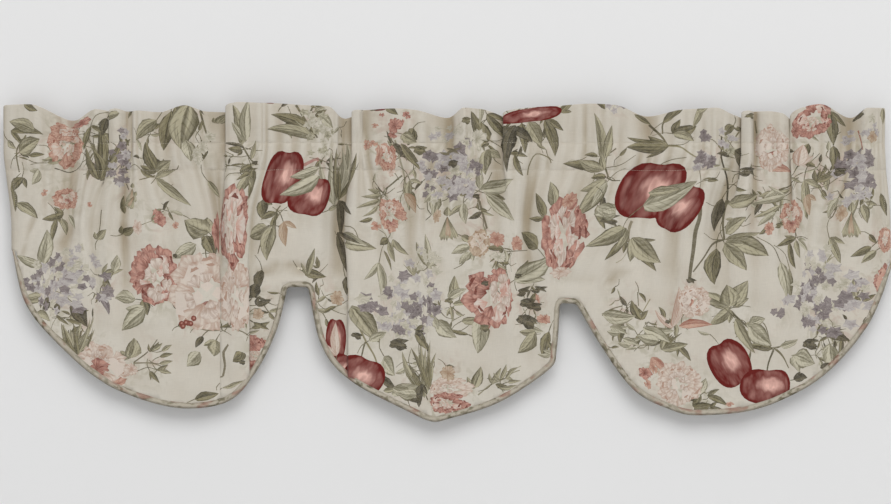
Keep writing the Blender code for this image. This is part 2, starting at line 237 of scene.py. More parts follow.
# Stalks by ink: width, then the places (x, z) they run through
STEMS = {
    "olive": table("""
        2.5 -605 -39 -618 -59 -615 -91; 1.5 -565 -85 -543 -91 -526 -80 -520 -59;
        2 -420 -96 -431 -99 -443 -102; 1.5 -497 -145 -499 -167 -503 -188;
        3.5 -356 0 -348 -30 -341 -47; 2.5 -295 -53 -285 -70 -276 -80;
        3.5 -218 1 -208 -13 -198 -27 -187 -42; 3 -194 -1 -201 -16; 2 -346 -182 -348 -203 -345 -224;
        2 -240 -139 -246 -148 -247 -167; 2 -256 -167 -267 -188 -273 -208;
        1.5 46 -116 56 -105 63 -91; 2 -30 -126 -29 -145 -24 -152 -32 -160;
        2 -82 -175 -83 -182 -88 -188; 1.5 80 -200 92 -204 89 -214 91 -234;
        3 -138 -292 -118 -333 -106 -354 -101 -369; 2.5 -119 -335 -122 -346 -125 -362;
        1.5 -72 -378 -63 -379 -56 -376; 2 114 -95 116 -82 126 -65 144 -70 148 -78;
        3.5 218 -59 224 -80 230 -99; 2 241 -57 228 -68 226 -82; 2 227 -99 236 -103 247 -103;
        4 289 -14 299 -27 308 -40 316 -55; 3 316 -6 308 -16 308 -33;
        2.5 316 -53 333 -55 348 -65 362 -73; 1.5 297 -88 308 -78 326 -72 342 -70;
        2 221 -295 236 -287 250 -283; 2 221 -296 239 -299 250 -305; 1.5 290 -273 279 -292 276 -303;
        1.5 272 -263 273 -283; 2 418 -27 410 -42 399 -59; 3.5 392 -39 392 -70 401 -102 401 -134;
        3.5 441 -13 444 -33; 2 466 -119 483 -114 503 -99; 4.5 401 -131 395 -160 397 -188;
        1.5 399 -134 420 -129 440 -125; 1.5 425 -162 434 -151; 2 558 -142 552 -154 547 -158;
        2 434 -300 454 -309 463 -341; 3 408 -292 422 -306 448 -329 467 -346;
        3.5 467 -343 477 -351 489 -372; 3 467 -346 460 -364 457 -381
    """),
    "dark": table("""
        2.5 -471 -37 -468 -88 -458 -116
    """),
    "stalk": table("""
        2 -451 -364 -431 -349 -417 -331; 2 -451 -365 -425 -365 -405 -372;
        1.5 -451 -364 -447 -376 -431 -371 -414 -376;
        2.5 -356 -315 -335 -318 -316 -313 -299 -318 -287 -325;
        3.5 -315 -338 -322 -349 -320 -368 -323 -384; 2 -323 -384 -329 -395 -332 -404;
        4.5 43 -125 49 -148 56 -172; 4.5 -56 -369 -43 -387 -29 -418; 1.5 83 -205 98 -204 114 -203;
        5 264 -161 260 -172 259 -188 270 -193; 1.5 361 -85 362 -108 355 -131;
        7 361 -116 361 -152 354 -181 349 -220 346 -249; 3.5 397 -187 379 -195 366 -214 351 -234
    """),
    "fruit": table("""
        5.5 -214 -85 -201 -78 -187 -72 -181 -79
    """),
    "grey_green": table("""
        3 -76 -45 -69 -73 -63 -95 -60 -116
    """),
    "sage": table("""
        2.5 -66 -96 -80 -108 -92 -119 -98 -138 -96 -160; 1.5 -149 -168 -135 -172 -124 -197;
        2 43 -411 60 -397 82 -387 103 -375; 1.5 241 -221 250 -216 260 -200;
        1.5 79 -378 92 -375 105 -369; 1.5 283 -306 290 -326 287 -346;
        1.5 297 -306 302 -326 296 -346
    """),
    "coral": table("""
        2.5 589 -27 593 -45 595 -59
    """),
}
# Leaves by ink: x and z of the foot, turn, length, width
LEAVES = {
    "olive": table("""
        -608 3 -15 20 8.5; -627 -33 -13 43 10; -611 -98 -126 27 11; -625 -114 -95 32 7;
        -512 -22 -100 37 8.5; -489 -34 -60 23 7; -418 -91 100 43 17; -397 -1 -100 57 22;
        -552 -151 -170 26 10; -562 -158 -95 32 7; -464 -151 90 26 7; -468 -180 35 20 11;
        -494 -243 -50 20 11; -438 -274 -75 22 13; -394 -269 -62 27 11; -428 -349 55 19 5.5;
        -414 -356 8 19 5.5; -417 -375 30 17 5.5; -428 -376 -50 22 5.5; -388 -312 10 13 5.5;
        -364 -417 10 34 11; -391 4 -85 52 17; -354 -49 -95 24 14; -295 -59 170 17 8.5;
        -279 -85 -88 43 10; -282 -82 -160 16 8.5; -197 0 6 24 7; -195 -22 30 29 7;
        -191 -36 165 55 14; -346 -182 -75 29 20; -267 -131 -80 26 13; -247 -148 -145 20 8.5;
        -247 -151 -85 37 7; -185 -228 110 17 5.5; -207 -234 -15 29 11; -315 -297 -38 11 5.5;
        -303 -293 -60 11 4.5; -295 -349 -145 19 13; -50 -26 -115 26 14; -68 -50 -47 49 10;
        -108 -157 -170 17 5.5; -60 -116 -52 23 5.5; -68 -138 -70 23 5.5; 60 -45 128 55 24;
        55 -4 -60 46 13; 59 -49 -145 14 7; 83 -23 -95 55 19; 57 -125 -10 26 8.5;
        46 -145 -10 10 4.5; -85 -187 -145 17 10; -92 -203 -82 29 4.5; 80 -200 -180 22 7;
        -47 -318 -45 36 13; -52 -378 -58 40 8.5; 68 -395 -5 26 7; 161 -6 30 26 10;
        105 -19 -85 43 11; 138 -16 -80 52 14; 95 -66 -55 32 8.5; 224 -85 175 55 14;
        227 -98 -170 20 8.5; 267 -1 -35 26 8.5; 308 -13 20 32 11; 316 -52 165 55 10;
        316 -55 -178 55 17; 322 -34 18 39 17; 129 -201 142 32 19; 98 -240 62 26 8.5;
        139 -157 120 39 11; 214 -138 -60 37 11; 253 -188 -118 32 11; 264 -195 -45 55 11;
        145 -319 -100 37 11; 145 -335 -68 32 10; 276 -303 105 29 11; 249 -303 -95 34 8.5;
        306 -343 60 37 10; 410 -17 -120 26 13; 547 -4 -85 46 17; 552 -53 -88 34 14;
        517 -50 -105 34 11; 527 -105 40 29 10; 371 -103 -5 17 5.5; 385 -200 -85 49 19;
        460 -168 -145 17 5.5; 510 -139 -75 20 5.5; 499 -185 -155 29 8.5; 490 -191 -75 37 7;
        621 -121 -78 32 7; 604 -180 -45 17 7; 608 -198 -153 29 10; 588 -274 25 26 7;
        329 -338 -55 29 7; 464 -345 -180 34 11; 566 -326 -100 37 5.5; 595 -306 45 23 7;
        351 -427 10 26 10; 376 -430 0 23 8.5; 372 -412 -28 34 8.5
    """),
    "sage": table("""
        -592 -32 165 37 16; -615 -63 28 33 20; -632 -45 -35 17 7; -619 -135 -43 36 14;
        -418 -11 -135 49 19; -418 -91 35 27 13; -420 -99 -45 52 13; -555 -157 -80 24 8.5;
        -503 -188 45 19 10; -496 -239 10 34 8.5; -490 -249 -80 19 8.5; -583 -269 -172 27 13;
        -591 -292 -30 32 11; -458 -359 85 29 19; -424 -346 40 17 5.5; -411 -348 28 17 5.5;
        -414 -366 10 19 5.5; -414 -376 -15 17 5.5; -364 -315 20 11 5.5; -371 4 -95 60 34;
        -332 -17 60 17 10; -295 -53 108 50 13; -282 -73 80 26 5.5; -286 -96 -110 32 13;
        -346 -103 -52 29 10; -190 -42 178 57 13; -343 -178 145 36 27; -259 -168 -165 34 20;
        -250 -167 -95 49 17; -201 -239 85 37 8.5; -295 -296 -78 19 5.5; -333 -332 -100 22 13;
        -325 -401 25 29 5.5; -66 -36 -28 23 16; -98 -131 -155 29 5.5; -96 -124 -180 26 5.5;
        -98 -118 165 17 5.5; -101 -139 -145 22 4.5; -62 -105 -85 40 10; -55 -102 -80 32 8.5;
        55 -59 -88 34 17; 22 -138 -130 23 7; -148 -193 -18 30 14; -85 -190 -75 29 10;
        -79 -187 -50 26 7; -30 -226 106 36 8.5; 19 -182 -35 20 8.5; 6 -274 88 33 13;
        7 -280 -5 20 7; 3 -282 -85 23 4.5; -138 -282 -68 55 16; -93 -405 -3 23 7; 37 -402 75 32 13;
        63 -395 60 26 7; 75 -389 75 23 5.5; 82 -387 30 26 7; 86 -392 5 20 5.5; 19 -305 15 29 10;
        115 -19 -62 37 19; 220 -73 108 60 13; 224 -73 78 46 11; 224 -88 152 40 13;
        227 -102 -122 57 20; 323 -34 -28 34 13; 152 -141 115 37 13; 256 -171 -155 57 20;
        264 -185 -32 57 22; 126 -320 -138 37 17; 75 -401 12 32 5.5; 306 -346 10 40 11;
        624 1 -90 23 8.5; 466 -119 -170 20 7; 510 -102 -85 52 13; 402 -137 25 43 17;
        399 -180 35 34 16; 398 -188 14 45 10; 410 -188 -32 46 22; 397 -193 -56 46 20;
        405 -285 155 49 17; 407 -283 58 40 19; 404 -283 100 29 23; 404 -287 -145 34 14;
        477 -138 -155 34 7; 491 -116 -172 26 7; 499 -188 -70 26 8.5; 595 -137 -78 27 11;
        589 -128 -95 29 5.5; 547 -185 -62 40 11; 615 -203 -135 26 10; 490 -228 -85 49 8.5;
        586 -274 95 32 7; 412 -300 -55 55 13
    """),
    "grey_green": table("""
        -586 -88 -130 23 11; -545 -152 -62 23 7; -583 -228 88 52 17; -480 -234 78 24 11;
        -448 -273 -175 33 16; -435 -286 -138 45 20; -356 -349 -135 26 17; -376 -45 -88 29 17;
        -289 -47 80 49 13; -181 -13 -30 23 14; -361 -194 -150 37 16; -361 -211 -145 30 11;
        46 -116 20 52 17; 53 -121 -30 63 17; -20 -119 -88 34 14; 22 -135 -78 29 11;
        -149 -177 -35 29 11; -99 -220 -95 52 11; -27 -220 97 39 8.5; -29 -227 48 22 11;
        32 -197 -155 27 11; 33 -205 -128 23 10; 1 -273 25 26 10; -17 -303 -42 32 16;
        -29 -295 -60 26 11; -114 -333 20 29 11; -92 -355 -48 32 19; 45 -299 -100 49 23;
        228 -105 -108 37 11; 95 -246 42 52 20; 221 -295 5 43 17; 474 -116 -145 23 7;
        484 -125 -165 40 8.5; 470 -148 -135 29 7; 502 -187 -50 26 7; 560 -128 -100 29 10;
        477 -220 -82 57 17; 431 -310 -38 43 22; 476 -341 25 32 10; 496 -354 -20 43 24;
        549 -339 -85 40 19; 355 -410 65 26 13
    """),
    "dark": table("""
        -489 -10 -96 27 8.5; -572 -274 -145 22 14; -558 -293 150 20 14; -540 -277 -60 40 17;
        -267 -231 -95 29 13; -273 -251 -120 23 13; -282 -272 80 17 10; -276 -282 20 22 8.5;
        -78 -49 -70 20 8.5; 85 -22 -115 34 11; -158 -131 -90 49 11; -160 -177 -90 55 10;
        -148 -241 -72 40 16; -99 -384 -22 34 11; -39 -395 -93 32 11; 85 -24 -100 52 17;
        96 -22 -93 66 13; 223 -126 -75 24 7; 412 -59 -62 49 14; 394 -128 -95 46 16;
        540 -319 -30 32 13; 496 -389 -3 29 10
    """),
    "lilac": table("""
        -499 -269 -75 27 8.5; 560 -99 52 52 11; 566 -88 35 34 8.5
    """),
    "peach": table("""
        -236 -162 -80 34 11; -62 -121 -65 32 13; 513 -124 -70 29 11
    """),
    "rose": table("""
        -352 -279 -8 23 8.5; 456 -68 30 17 4.5
    """),
    "stalk": table("""
        -3 -369 -70 20 7
    """),
    "coral": table("""
        293 -356 -58 29 10; 448 -83 -20 40 11; 331 -312 -5 42 11; 338 -280 80 20 4.5;
        348 -286 62 23 4.5; 354 -289 76 20 4.5
    """),
    "pale_rose": table("""
        502 -82 80 29 11; 322 -315 88 57 13
    """),
}
# Thickets of small leaves and twigs: x, z, width, height, count
THICKETS = table("""
    -507 -59 63 86 22; -471 -59 34 86 12; -558 -73 86 34 12; -385 -23 86 49 12; -428 -73 72 72 8;
    -292 -80 57 86 8; -162 -80 49 115 16; -213 -16 72 43 5; -83 -116 72 72 10; -62 -73 43 72 8;
    10 -109 86 57 10; 75 -45 72 72 10; 125 -45 57 57 8; 82 -220 43 43 6; 118 -274 43 72 10;
    -170 -274 43 57 8; -267 -274 43 57 8; -306 -318 86 43 8; -558 -310 72 57 8; -536 -339 43 43 6;
    -40 -375 57 86 14; -11 -289 57 57 8; 283 -325 115 72 22; 247 -274 57 43 6; 218 -88 57 72 6;
    398 -73 72 72 14; 456 -138 72 57 12; 527 -80 72 86 18; 585 -131 72 43 12; 549 -346 72 57 14;
    563 -318 57 29 6; 362 -404 43 57 5; 46 -145 29 72 4; -536 -274 115 57 10; -392 -152 57 57 5;
    434 -318 72 57 6
""")
# Tufts of blades: x, z, turn, count, length, fan, ink
TUFTS = table("""
    -500 -102 0 6 79 25 olive; -537 -358 -15 12 66 35 sage; -532 -361 10 6 52 30 olive;
    -164 -138 5 6 86 14 grey_green; -158 -131 -8 4 72 16 olive; -49 -240 -20 6 24 50 sage;
    75 -211 -180 6 24 40 olive; -34 -415 -6 8 78 18 sage; -26 -404 6 5 63 16 olive;
    308 -346 -50 6 40 28 olive; 543 -223 -30 5 20 60 sage
""")
# Heads of small flowers: x, z, turn, width, height, count, size, inks
CLUSTERS = table("""
    -464 -66 0 23 101 22 6.5 lilac lilac_pale; -483 -80 0 23 37 8 5.5 lilac_pale lilac;
    -550 -246 0 119 101 66 8 lilac_pale lilac cream_floret; -22 -88 0 37 57 14 8 lilac lilac_pale;
    19 -70 0 55 80 30 8.5 lilac_pale lilac cream_floret;
    -20 -116 0 40 32 10 7 lilac_pale cream_floret lilac; 16 -116 0 46 34 14 8 lilac_pale lilac;
    -62 -283 0 115 89 72 8 lilac_pale lilac cream_floret; 368 -69 0 32 37 12 7 lilac lilac_pale;
    595 -88 0 60 60 30 8 lilac lilac_pale; 578 -124 0 57 26 12 7 lilac_pale cream_floret;
    530 -274 0 118 106 76 8 lilac_pale lilac cream_floret;
    -187 -30 0 49 63 16 6.5 cream_floret grey_green;
    -181 -59 0 32 29 8 5.5 grey_green cream_floret; -351 -59 0 32 49 8 8.5 cream_floret;
    -4 -27 0 43 37 10 7 cream_floret lilac_pale; 398 -45 0 34 43 8 6.5 lilac_pale grey_green;
    606 -23 0 32 37 8 7 lilac_pale cream_floret; -543 -214 0 43 34 10 7 cream_floret lilac_pale;
    -33 -220 0 49 37 12 7 cream_floret lilac_pale; 535 -214 0 43 34 10 7 cream_floret lilac_pale
""")
# Closed buds: x, z, turn, size, ink
BUDS = table("""
    -425 -161 20 19 rose
""")
# Drooping bells: x, z, turn, size, ink at the tip, ink of the cup
BELLS = table("""
    -453 -114 -95 20 peach grey_green; -450 -125 -120 19 peach sage; -1 -154 -84 34 peach sage;
    579 -148 -88 36 peach sage
""")
# Roses: x, z, turn, width, height, inks, then the heart's width, height and offset
ROSES = table("""
    -547 -52 0 52 69 coral pale_rose 20 32 0 0; -546 -129 0 37 34 coral pale_rose 14 13 0 0;
    -420 -239 0 72 95 rose heart 37 57 5.5 -7; -500 -369 -25 89 66 pale_rose heart 34 26 -8.5 5.5;
    -303 -269 0 49 103 pale_rose heart 20 57 -3 0; -312 -168 0 49 124 rose heart 17 80 0 0;
    -345 -263 0 89 121 pale_rose heart 43 63 0 -5.5; -277 -355 0 29 63 rose pale_rose 11 17 0 0;
    -88 -69 8 29 46 coral pale_rose 11 17 3 0; -83 -152 0 43 52 coral pale_rose 19 19 0 8.5;
    46 -193 0 34 40 peach pale_rose 11 11 0 0; 66 -270 0 72 92 rose heart 32 49 13 5.5;
    0 -401 0 60 37 pale_rose heart 20 14 0 0; -3 -422 -8 55 34 rose pale_rose 17 11 0 -3;
    165 -185 0 70 121 rose heart 34 83 0 5.5; 331 -395 0 72 69 pale_rose heart 34 32 0 0;
    464 -56 0 49 72 pale_rose heart 23 37 0 -4.5; 525 -17 38 57 49 rose pale_rose 19 17 -8.5 -3;
    493 -154 0 39 49 coral pale_rose 17 19 0 7; 627 -188 0 29 37 coral pale_rose 11 11 0 0;
    629 -247 0 37 49 rose coral 11 17 0 0; 351 -277 0 49 49 pale_rose heart 26 26 0 0;
    -549 -27 0 43 37 coral pale_rose 17 14 0 0
""")
# Loose petals and dark scraps by ink: x, z, turn, width, height
DABS = {
    "rose": table("""
        -526 -11 0 26 17; -546 -131 0 8.5 7; -414 -158 0 20 17; -504 -372 -20 34 26;
        -331 -178 0 17 60; -280 -339 10 14 20; -282 -369 -10 16 17; -95 -7 0 8.5 8.5;
        -59 -7 0 14 14; -66 -17 0 10 10; -76 -24 0 24 22; -78 -36 0 13 13; 282 -379 -35 22 16;
        499 -30 0 11 23
    """),
    "coral": table("""
        -558 -16 20 17 11; -578 -121 20 13 10; -514 -138 -20 11 8.5; -391 -167 0 13 13;
        -477 -397 35 37 16; -105 -23 0 11 7; -118 -53 0 14 17; -108 -49 0 13 11;
        -99 -68 -15 8.5 32; -103 -168 0 17 13; 70 -187 -10 24 19; 98 -193 0 19 20;
        174 -132 0 20 24; 138 -302 -30 20 16; 129 -274 10 7 19; 295 -371 20 11 20;
        286 -395 30 11 19; 460 -171 0 14 19; 405 -424 0 14 7
    """),
    "pale_rose": table("""
        -445 -171 0 13 23; -454 -375 0 22 20; -82 -91 0 14 14; 161 -234 0 34 19
    """),
    "lilac": table("""
        -595 -250 20 17 20; -575 -263 -30 14 13; 37 -85 10 17 29; -43 -287 10 20 23;
        -108 -280 0 17 14; -69 -318 0 20 13; 371 -39 0 16 14; 517 -310 0 17 13; 543 -282 0 11 20;
        476 -292 0 17 11
    """),
    "dark": table("""
        -277 -78 0 8.5 7; -392 -211 0 7 7; -295 -364 0 8.5 8.5; 7 -79 0 14 14; 40 -126 0 11 8.5;
        53 -251 0 11 8.5; -131 -326 -20 14 11; -73 -339 0 27 20; -42 -322 0 11 14;
        -49 -417 0 26 13; 99 -240 0 7 10; 231 -161 0 27 11; 106 -264 20 11 20; 128 -260 0 8.5 20;
        114 -280 0 22 19; 125 -285 0 19 14; 112 -306 -20 30 22; 428 -91 0 13 23; 589 -4 10 16 10;
        560 -91 0 13 19; 346 -246 -20 8.5 13; 315 -306 0 7 7; 517 -339 0 27 17; 543 -371 0 19 13
    """),
    "peach": table("""
        -273 -295 0 19 17; -160 -272 0 20 22; -17 -154 0 13 20; 0 -379 0 22 22; 609 -39 0 17 20;
        565 -149 0 16 22
    """),
    "olive": table("""
        -42 -60 0 16 19; 26 -17 0 13 14; 1 -276 0 13 8.5; 52 -315 0 13 14; 417 -22 -20 8.5 16;
        434 -7 0 16 10; 474 -168 20 7 13; 586 -272 0 7 7
    """),
    "stalk": table("""
        0 -62 0 7 23
    """),
    "cream_floret": table("""
        43 -42 10 23 34; 73 -213 0 23 17
    """),
    "grey_green": table("""
        -66 -407 0 37 27; 227 -148 0 32 32; 142 -352 0 11 23; 239 -319 0 16 27; 256 -336 0 14 27;
        290 -326 -5 27 46
    """),
    "fruit": table("""
        326 -88 0 26 10
    """),
    "lilac_pale": table("""
        578 -39 0 19 32
    """),
}
# Fruit: x, z, turn, width, height
FRUITS = table("""
    -237 -99 0 55 83; -194 -126 -10 55 60; -161 -332 0 29 66; -152 -374 -20 37 46;
    -128 -384 -25 63 60; 118 -9 5 76 22; 290 -118 0 95 88; 329 -142 -20 60 75; 404 -366 30 60 75;
    458 -399 0 75 55
""")
# Berries: x, z, count, size, spread, ink
BERRIES = table("""
    -372 -310 6 8.5 11 rose
""")
# Leaves that lie over the fruit
TOP_LEAVES = {
    "grey_green": table("""
        -185 -85 -165 34 13; -184 -96 -153 46 19; 280 -139 32 72 32
    """),
    "pale_rose": table("""
        -160 -355 88 46 11
    """),
    "sage": table("""
        287 -121 8 46 13
    """),
}
# Dabs that lie over the roses
TOP_DABS = {
    "rose": table("""
        -82 -164 -10 20 8.5; -13 -418 0 8.5 4.5; 493 -164 -20 17 8.5
    """),
}


# ---- Curves, and how the cloth hangs ----


def ease(share):
    """Rise smoothly from 0 to 1 as share does."""
    return 0.5 - 0.5 * np.cos(np.pi * np.clip(share, 0.0, 1.0))


def linear(hex_colour):
    """A colour given as sRGB hex, as the linear values that the shader uses."""
    parts = [int(hex_colour[place:place + 2], 16) / 255 for place in (1, 3, 5)]
    return tuple(part / 12.92 if part <= 0.04045 else ((part + 0.055) / 1.055) ** 2.4
                 for part in parts) + (1.0,)


def curve_between(knots, values, at):
    """A smooth curve through the values that turns only at their highest and lowest."""
    run = np.diff(knots)
    slope = np.diff(values) / run
    before, after = slope[:-1], slope[1:]
    same_way = before * after > 0
    tangent = np.concatenate([slope[:1], np.zeros(len(slope) - 1), slope[-1:]])
    tangent[1:-1][same_way] = (2 * before * after / (before + after + 1e-12))[same_way]
    place = np.clip(np.searchsorted(knots, at, side="right") - 1, 0, len(run) - 1)
    t = (at - knots[place]) / run[place]
    return ((1 + 2 * t) * (1 - t) ** 2 * values[place]
            + t * (1 - t) ** 2 * run[place] * tangent[place]
            + t * t * (3 - 2 * t) * values[place + 1]
            + t * t * (t - 1) * run[place] * tangent[place + 1])


def smooth_line(points, step):
    """Catmull-Rom curve through the points, as a line of short steps."""
    points = np.array(points, dtype=float)
    padded = np.vstack([2 * points[0] - points[1], points, 2 * points[-1] - points[-2]])
    line = []
    for before, start, end, after in zip(padded, padded[1:], padded[2:], padded[3:]):
        count = max(2, int(np.ceil(np.linalg.norm(end - start) / step)))
        for t in np.arange(count) / count:
            line.append(0.5 * (2 * start + (end - before) * t
                               + (2 * before - 5 * start + 4 * end - after) * t ** 2
                               + (3 * start - before - 3 * end + after) * t ** 3))
    line.append(points[-1])
    return np.array(line)


def unit(vectors):
    return vectors / (np.linalg.norm(vectors, axis=-1, keepdims=True) + 1e-12)


def lengths_along(line):
    return np.concatenate([[0.0], np.cumsum(np.linalg.norm(np.diff(line, axis=0), axis=1))])


def moving_mean(values, reach):
    """Each value's mean with its neighbours up to reach places away."""
    padded = np.pad(values, reach, mode="edge")
    return np.convolve(padded, np.ones(2 * reach + 1) / (2 * reach + 1), "valid")


class LowerEdge:
    """The finished lower edge, measured along its length from the left side."""

    STEP = 2.0

    def __init__(self):
        line = np.vstack([smooth_line(lobe, self.STEP) for lobe in LOBES])
        length = lengths_along(line)
        even = np.arange(0.0, length[-1], self.STEP)
        line = np.column_stack([np.interp(even, length, line[:, axis]) for axis in (0, 1)])
        reach = int(round(CORNER_SOFTNESS / self.STEP))
        soft = np.column_stack([moving_mean(line[:, axis], reach) for axis in (0, 1)])
        soft[0], soft[-1] = line[0], line[-1]
        self.line = soft
        self.length = lengths_along(soft)
        along = np.gradient(soft, axis=0)
        along /= np.linalg.norm(along, axis=1)[:, None]
        self.inward = np.column_stack([-along[:, 1], along[:, 0]])

    def set_in(self, length, distance):
        """Points set into the cloth from the finished edge."""
        edge, inward = (np.column_stack([np.interp(length, self.length, values[:, axis])
                                         for axis in (0, 1)])
                        for values in (self.line, self.inward))
        inward /= np.linalg.norm(inward, axis=1)[:, None]
        return edge + inward * np.broadcast_to(distance, length.shape)[:, None]


class Drape:
    """How the gathered cloth hangs: from a place on the flat cloth to its place in the air."""

    def __init__(self, lower_edge):
        rows = np.array([row[1:] for row in FOLDS], dtype=float)
        runs = np.hypot(np.diff(rows[:, 0:3], axis=0), np.diff(rows[:, 3:6], axis=0))
        self.folds_at = np.concatenate([[0.0], np.cumsum(runs.max(axis=1))])
        self.width = self.folds_at[-1]
        self.fine = np.linspace(0.0, self.width, int(self.width / 0.5) + 1)
        self.columns = [curve_between(self.folds_at, rows[:, place], self.fine)
                        for place in range(7)]
        self.heading_puckers = scatter_puckers(self.width)
        edge = lower_edge.set_in(lower_edge.length, CLOTH_IN_BINDING)
        edge[0], edge[-1] = lower_edge.line[0], lower_edge.line[-1]
        self.cut = self.flat(edge)
        self.cut[0, 0], self.cut[-1, 0] = 0.0, self.width
        hem = np.interp(self.fine, np.maximum.accumulate(self.cut[:, 0]) +
                        np.arange(len(self.cut)) * 1e-6, self.cut[:, 1])
        self.hem_depth = moving_mean(moving_mean(hem, 50), 50)

    def column(self, place, a):
        return np.interp(a, self.fine, self.columns[place])

    def x_at(self, a, v):
        x = self.column(0, a)
        x = x + (self.column(1, a) - x) * ease((v - RUFFLE) / (FOLD_LEVEL - RUFFLE))
        return x + (self.column(2, a) - x) * ease((v - FOLD_LEVEL) / (LOBE_LEVEL - FOLD_LEVEL))

    def flat(self, points):
        """Where points (x, z) that show in front lie on the flat cloth."""
        found = []
        for x, z in points:
            shown = np.maximum.accumulate(self.x_at(self.fine, -z)) + self.fine * 1e-7
            found.append((np.interp(x, shown, self.fine), -z))
        return np.array(found)

    def spread(self, x, z, width):
        """How much cloth is gathered into a width that shows, as a ratio."""
        (left, _), (right, _) = self.flat([(x - width / 2, z), (x + width / 2, z)])
        return min(max((right - left) / width, 1.0), 1.6)

    def smooth_front(self, a, v):
        """The front layer without its small creases: x, out and z."""
        x = self.x_at(a, v)
        out = self.column(3, a)
        out = out + (self.column(4, a) - out) * ease((v - RUFFLE) / (FOLD_LEVEL - RUFFLE))
        depth = np.interp(a, self.fine, self.hem_depth)
        out = out + (self.column(5, a) - out) * ease((v - FOLD_LEVEL) / (depth - FOLD_LEVEL))
        clear_of_seams = np.maximum(RUFFLE - v, v - LOWER_SEAM)
        out = out * (SEAM_SQUEEZE + (1 - SEAM_SQUEEZE) * ease(clear_of_seams / SQUEEZE_REACH))
        in_casing = np.clip((v - RUFFLE) / CASING, 0.0, 1.0)
        out = out + CASING_FRONT_BULGE * np.sin(np.pi * in_casing)
        top = self.column(6, a) - TURN_RADIUS
        z = np.where(v < RUFFLE, -RUFFLE + (top + RUFFLE) * (1 - v / RUFFLE), -v)
        return x, out, z

    def front(self, a, v):
        """The front layer with all its creases, as points in millimetres."""
        x, out, z = self.smooth_front(a, v)
        out = out + self.relief(a, v, x, z)
        return np.column_stack([x, -out, z])

    def relief(self, a, v, x, z):
        """Puckers at the stitching, soft creases and the cloth's own unevenness."""
        raised = np.zeros(len(a))
        for at, wide, high, above, below, seam in self.heading_puckers:
            near = np.flatnonzero(np.abs(a - at) < 3 * wide)
            down = v[near] - seam
            reach = np.where(down < 0, above, below)
            share = np.abs(down) / reach
            raised[near] += (high * np.exp(-((a[near] - at) / wide) ** 2)
                             * np.sqrt(share + 0.04) * np.exp(0.5 - share * 1.15))
        for x0, z0, x1, z1, wide, high in CREASES:
            along = np.array([x1 - x0, z1 - z0], dtype=float)
            long = np.linalg.norm(along)
            along /= long
            t = ((x - x0) * along[0] + (z - z0) * along[1]) / long
            off = (x - x0) * -along[1] + (z - z0) * along[0]
            raised += np.where((t > 0) & (t < 1), high * np.exp(-(off / wide) ** 2)
                               * np.sqrt(np.sin(np.pi * np.clip(t, 0, 1))), 0.0)
        seam_dip = sum(np.exp(-((v - seam) / SEAM_DIP_REACH) ** 2)
                       for seam in (RUFFLE, LOWER_SEAM))
        waves = 0.0
        for long, turn, high, phase in WAVES:
            waves = waves + high * np.sin(2 * np.pi * (x * math.cos(turn) + z * math.sin(turn))
                                          / long + phase)
        away = ease((v - LOWER_SEAM) / WAVES_REACH)
        return raised - SEAM_DIP * seam_dip + waves * away

    def hollow(self, a, v):
        """The painted shade at each place: below 0 on a crest, about 1 down in a dip or crease,
        more in the level creases lower down, less towards the hem and a little more towards the
        top.
        """
        v = np.abs(v)

        def out_at(off, down=0):
            return -self.front(np.clip(a + off, 0, self.width), np.maximum(v + down, 0))[:, 1]
        here = out_at(0)
        wide = sum(out_at(off) for off in FOLD_REACH) / len(FOLD_REACH) - here
        fine = sum(out_at(off) for off in CREASE_REACH) / len(CREASE_REACH) - here
        level = (out_at(0, -LEVEL_REACH) + out_at(0, LEVEL_REACH)) / 2 - here
        near_hem = 0.6 * ease((v - 150) / 150)
        return (0.8 * ease(wide / 9.0) + 0.4 * np.clip(fine / 1.8, -0.3, 1.0)) \
            * (1 - near_hem) + 0.16 * (1 - ease((v - 60) / 200)) \
            + 0.6 * np.clip(level / 2.0, -0.3, 1.0) * ease((v - 130) / 30)

    def place(self, a, v):
        """Points on the flat cloth, as they hang, in metres."""
        points = np.empty((len(a), 3))
        ahead = v >= 0
        points[ahead] = self.front(a[ahead], v[ahead])
        behind = ~ahead
        if behind.any():
            points[behind] = self.back(a[behind], -v[behind])
        return points * MM

    def outward(self, a, v):
        """Unit directions out of the cloth's printed side."""
        reach = 0.8
        across = self.place(np.minimum(a + reach, self.width), v) \
            - self.place(np.maximum(a - reach, 0.0), v)
        down = self.place(a, v + reach) - self.place(a, v - reach)
        return unit(np.cross(down, across))

    def back(self, a, gone):
        """The cloth that has gone over the top, by how far it has gone."""
        down = gone - TURN
        share = np.clip(down / RUFFLE, 0.0, 1.0)
        round_rod = np.clip((down - RUFFLE) / CASING_BACK, 0.0, 1.0)
        below = np.maximum(down - RUFFLE - CASING_BACK, 0.0)
        v = RUFFLE * share + CASING * round_rod + below
        here = self.front(a, v)
        reach = 1.5
        beside = self.front(np.minimum(a + reach, self.width), v) \
            - self.front(np.maximum(a - reach, 0.0), v)
        backward = np.column_stack([-beside[:, 1], beside[:, 0]])
        backward /= np.linalg.norm(backward, axis=1)[:, None] + 1e-9
        gap = 2 * TURN_RADIUS + (LAYER_GAP - 2 * TURN_RADIUS) * share
        turned = np.clip(gone / TURN_RADIUS, 0.0, math.pi)
        in_turn = gone < TURN
        gap = np.where(in_turn, TURN_RADIUS * (1 - np.cos(turned)), gap)
        here[:, 0] += backward[:, 0] * gap
        here[:, 1] += backward[:, 1] * gap
        here[:, 2] += np.where(in_turn, TURN_RADIUS * np.sin(turned), 0.0)
        swell = np.sin(np.pi * round_rod) ** 0.7
        here[:, 1] += (CASING_BACK_BULGE - here[:, 1]) * swell
        return here


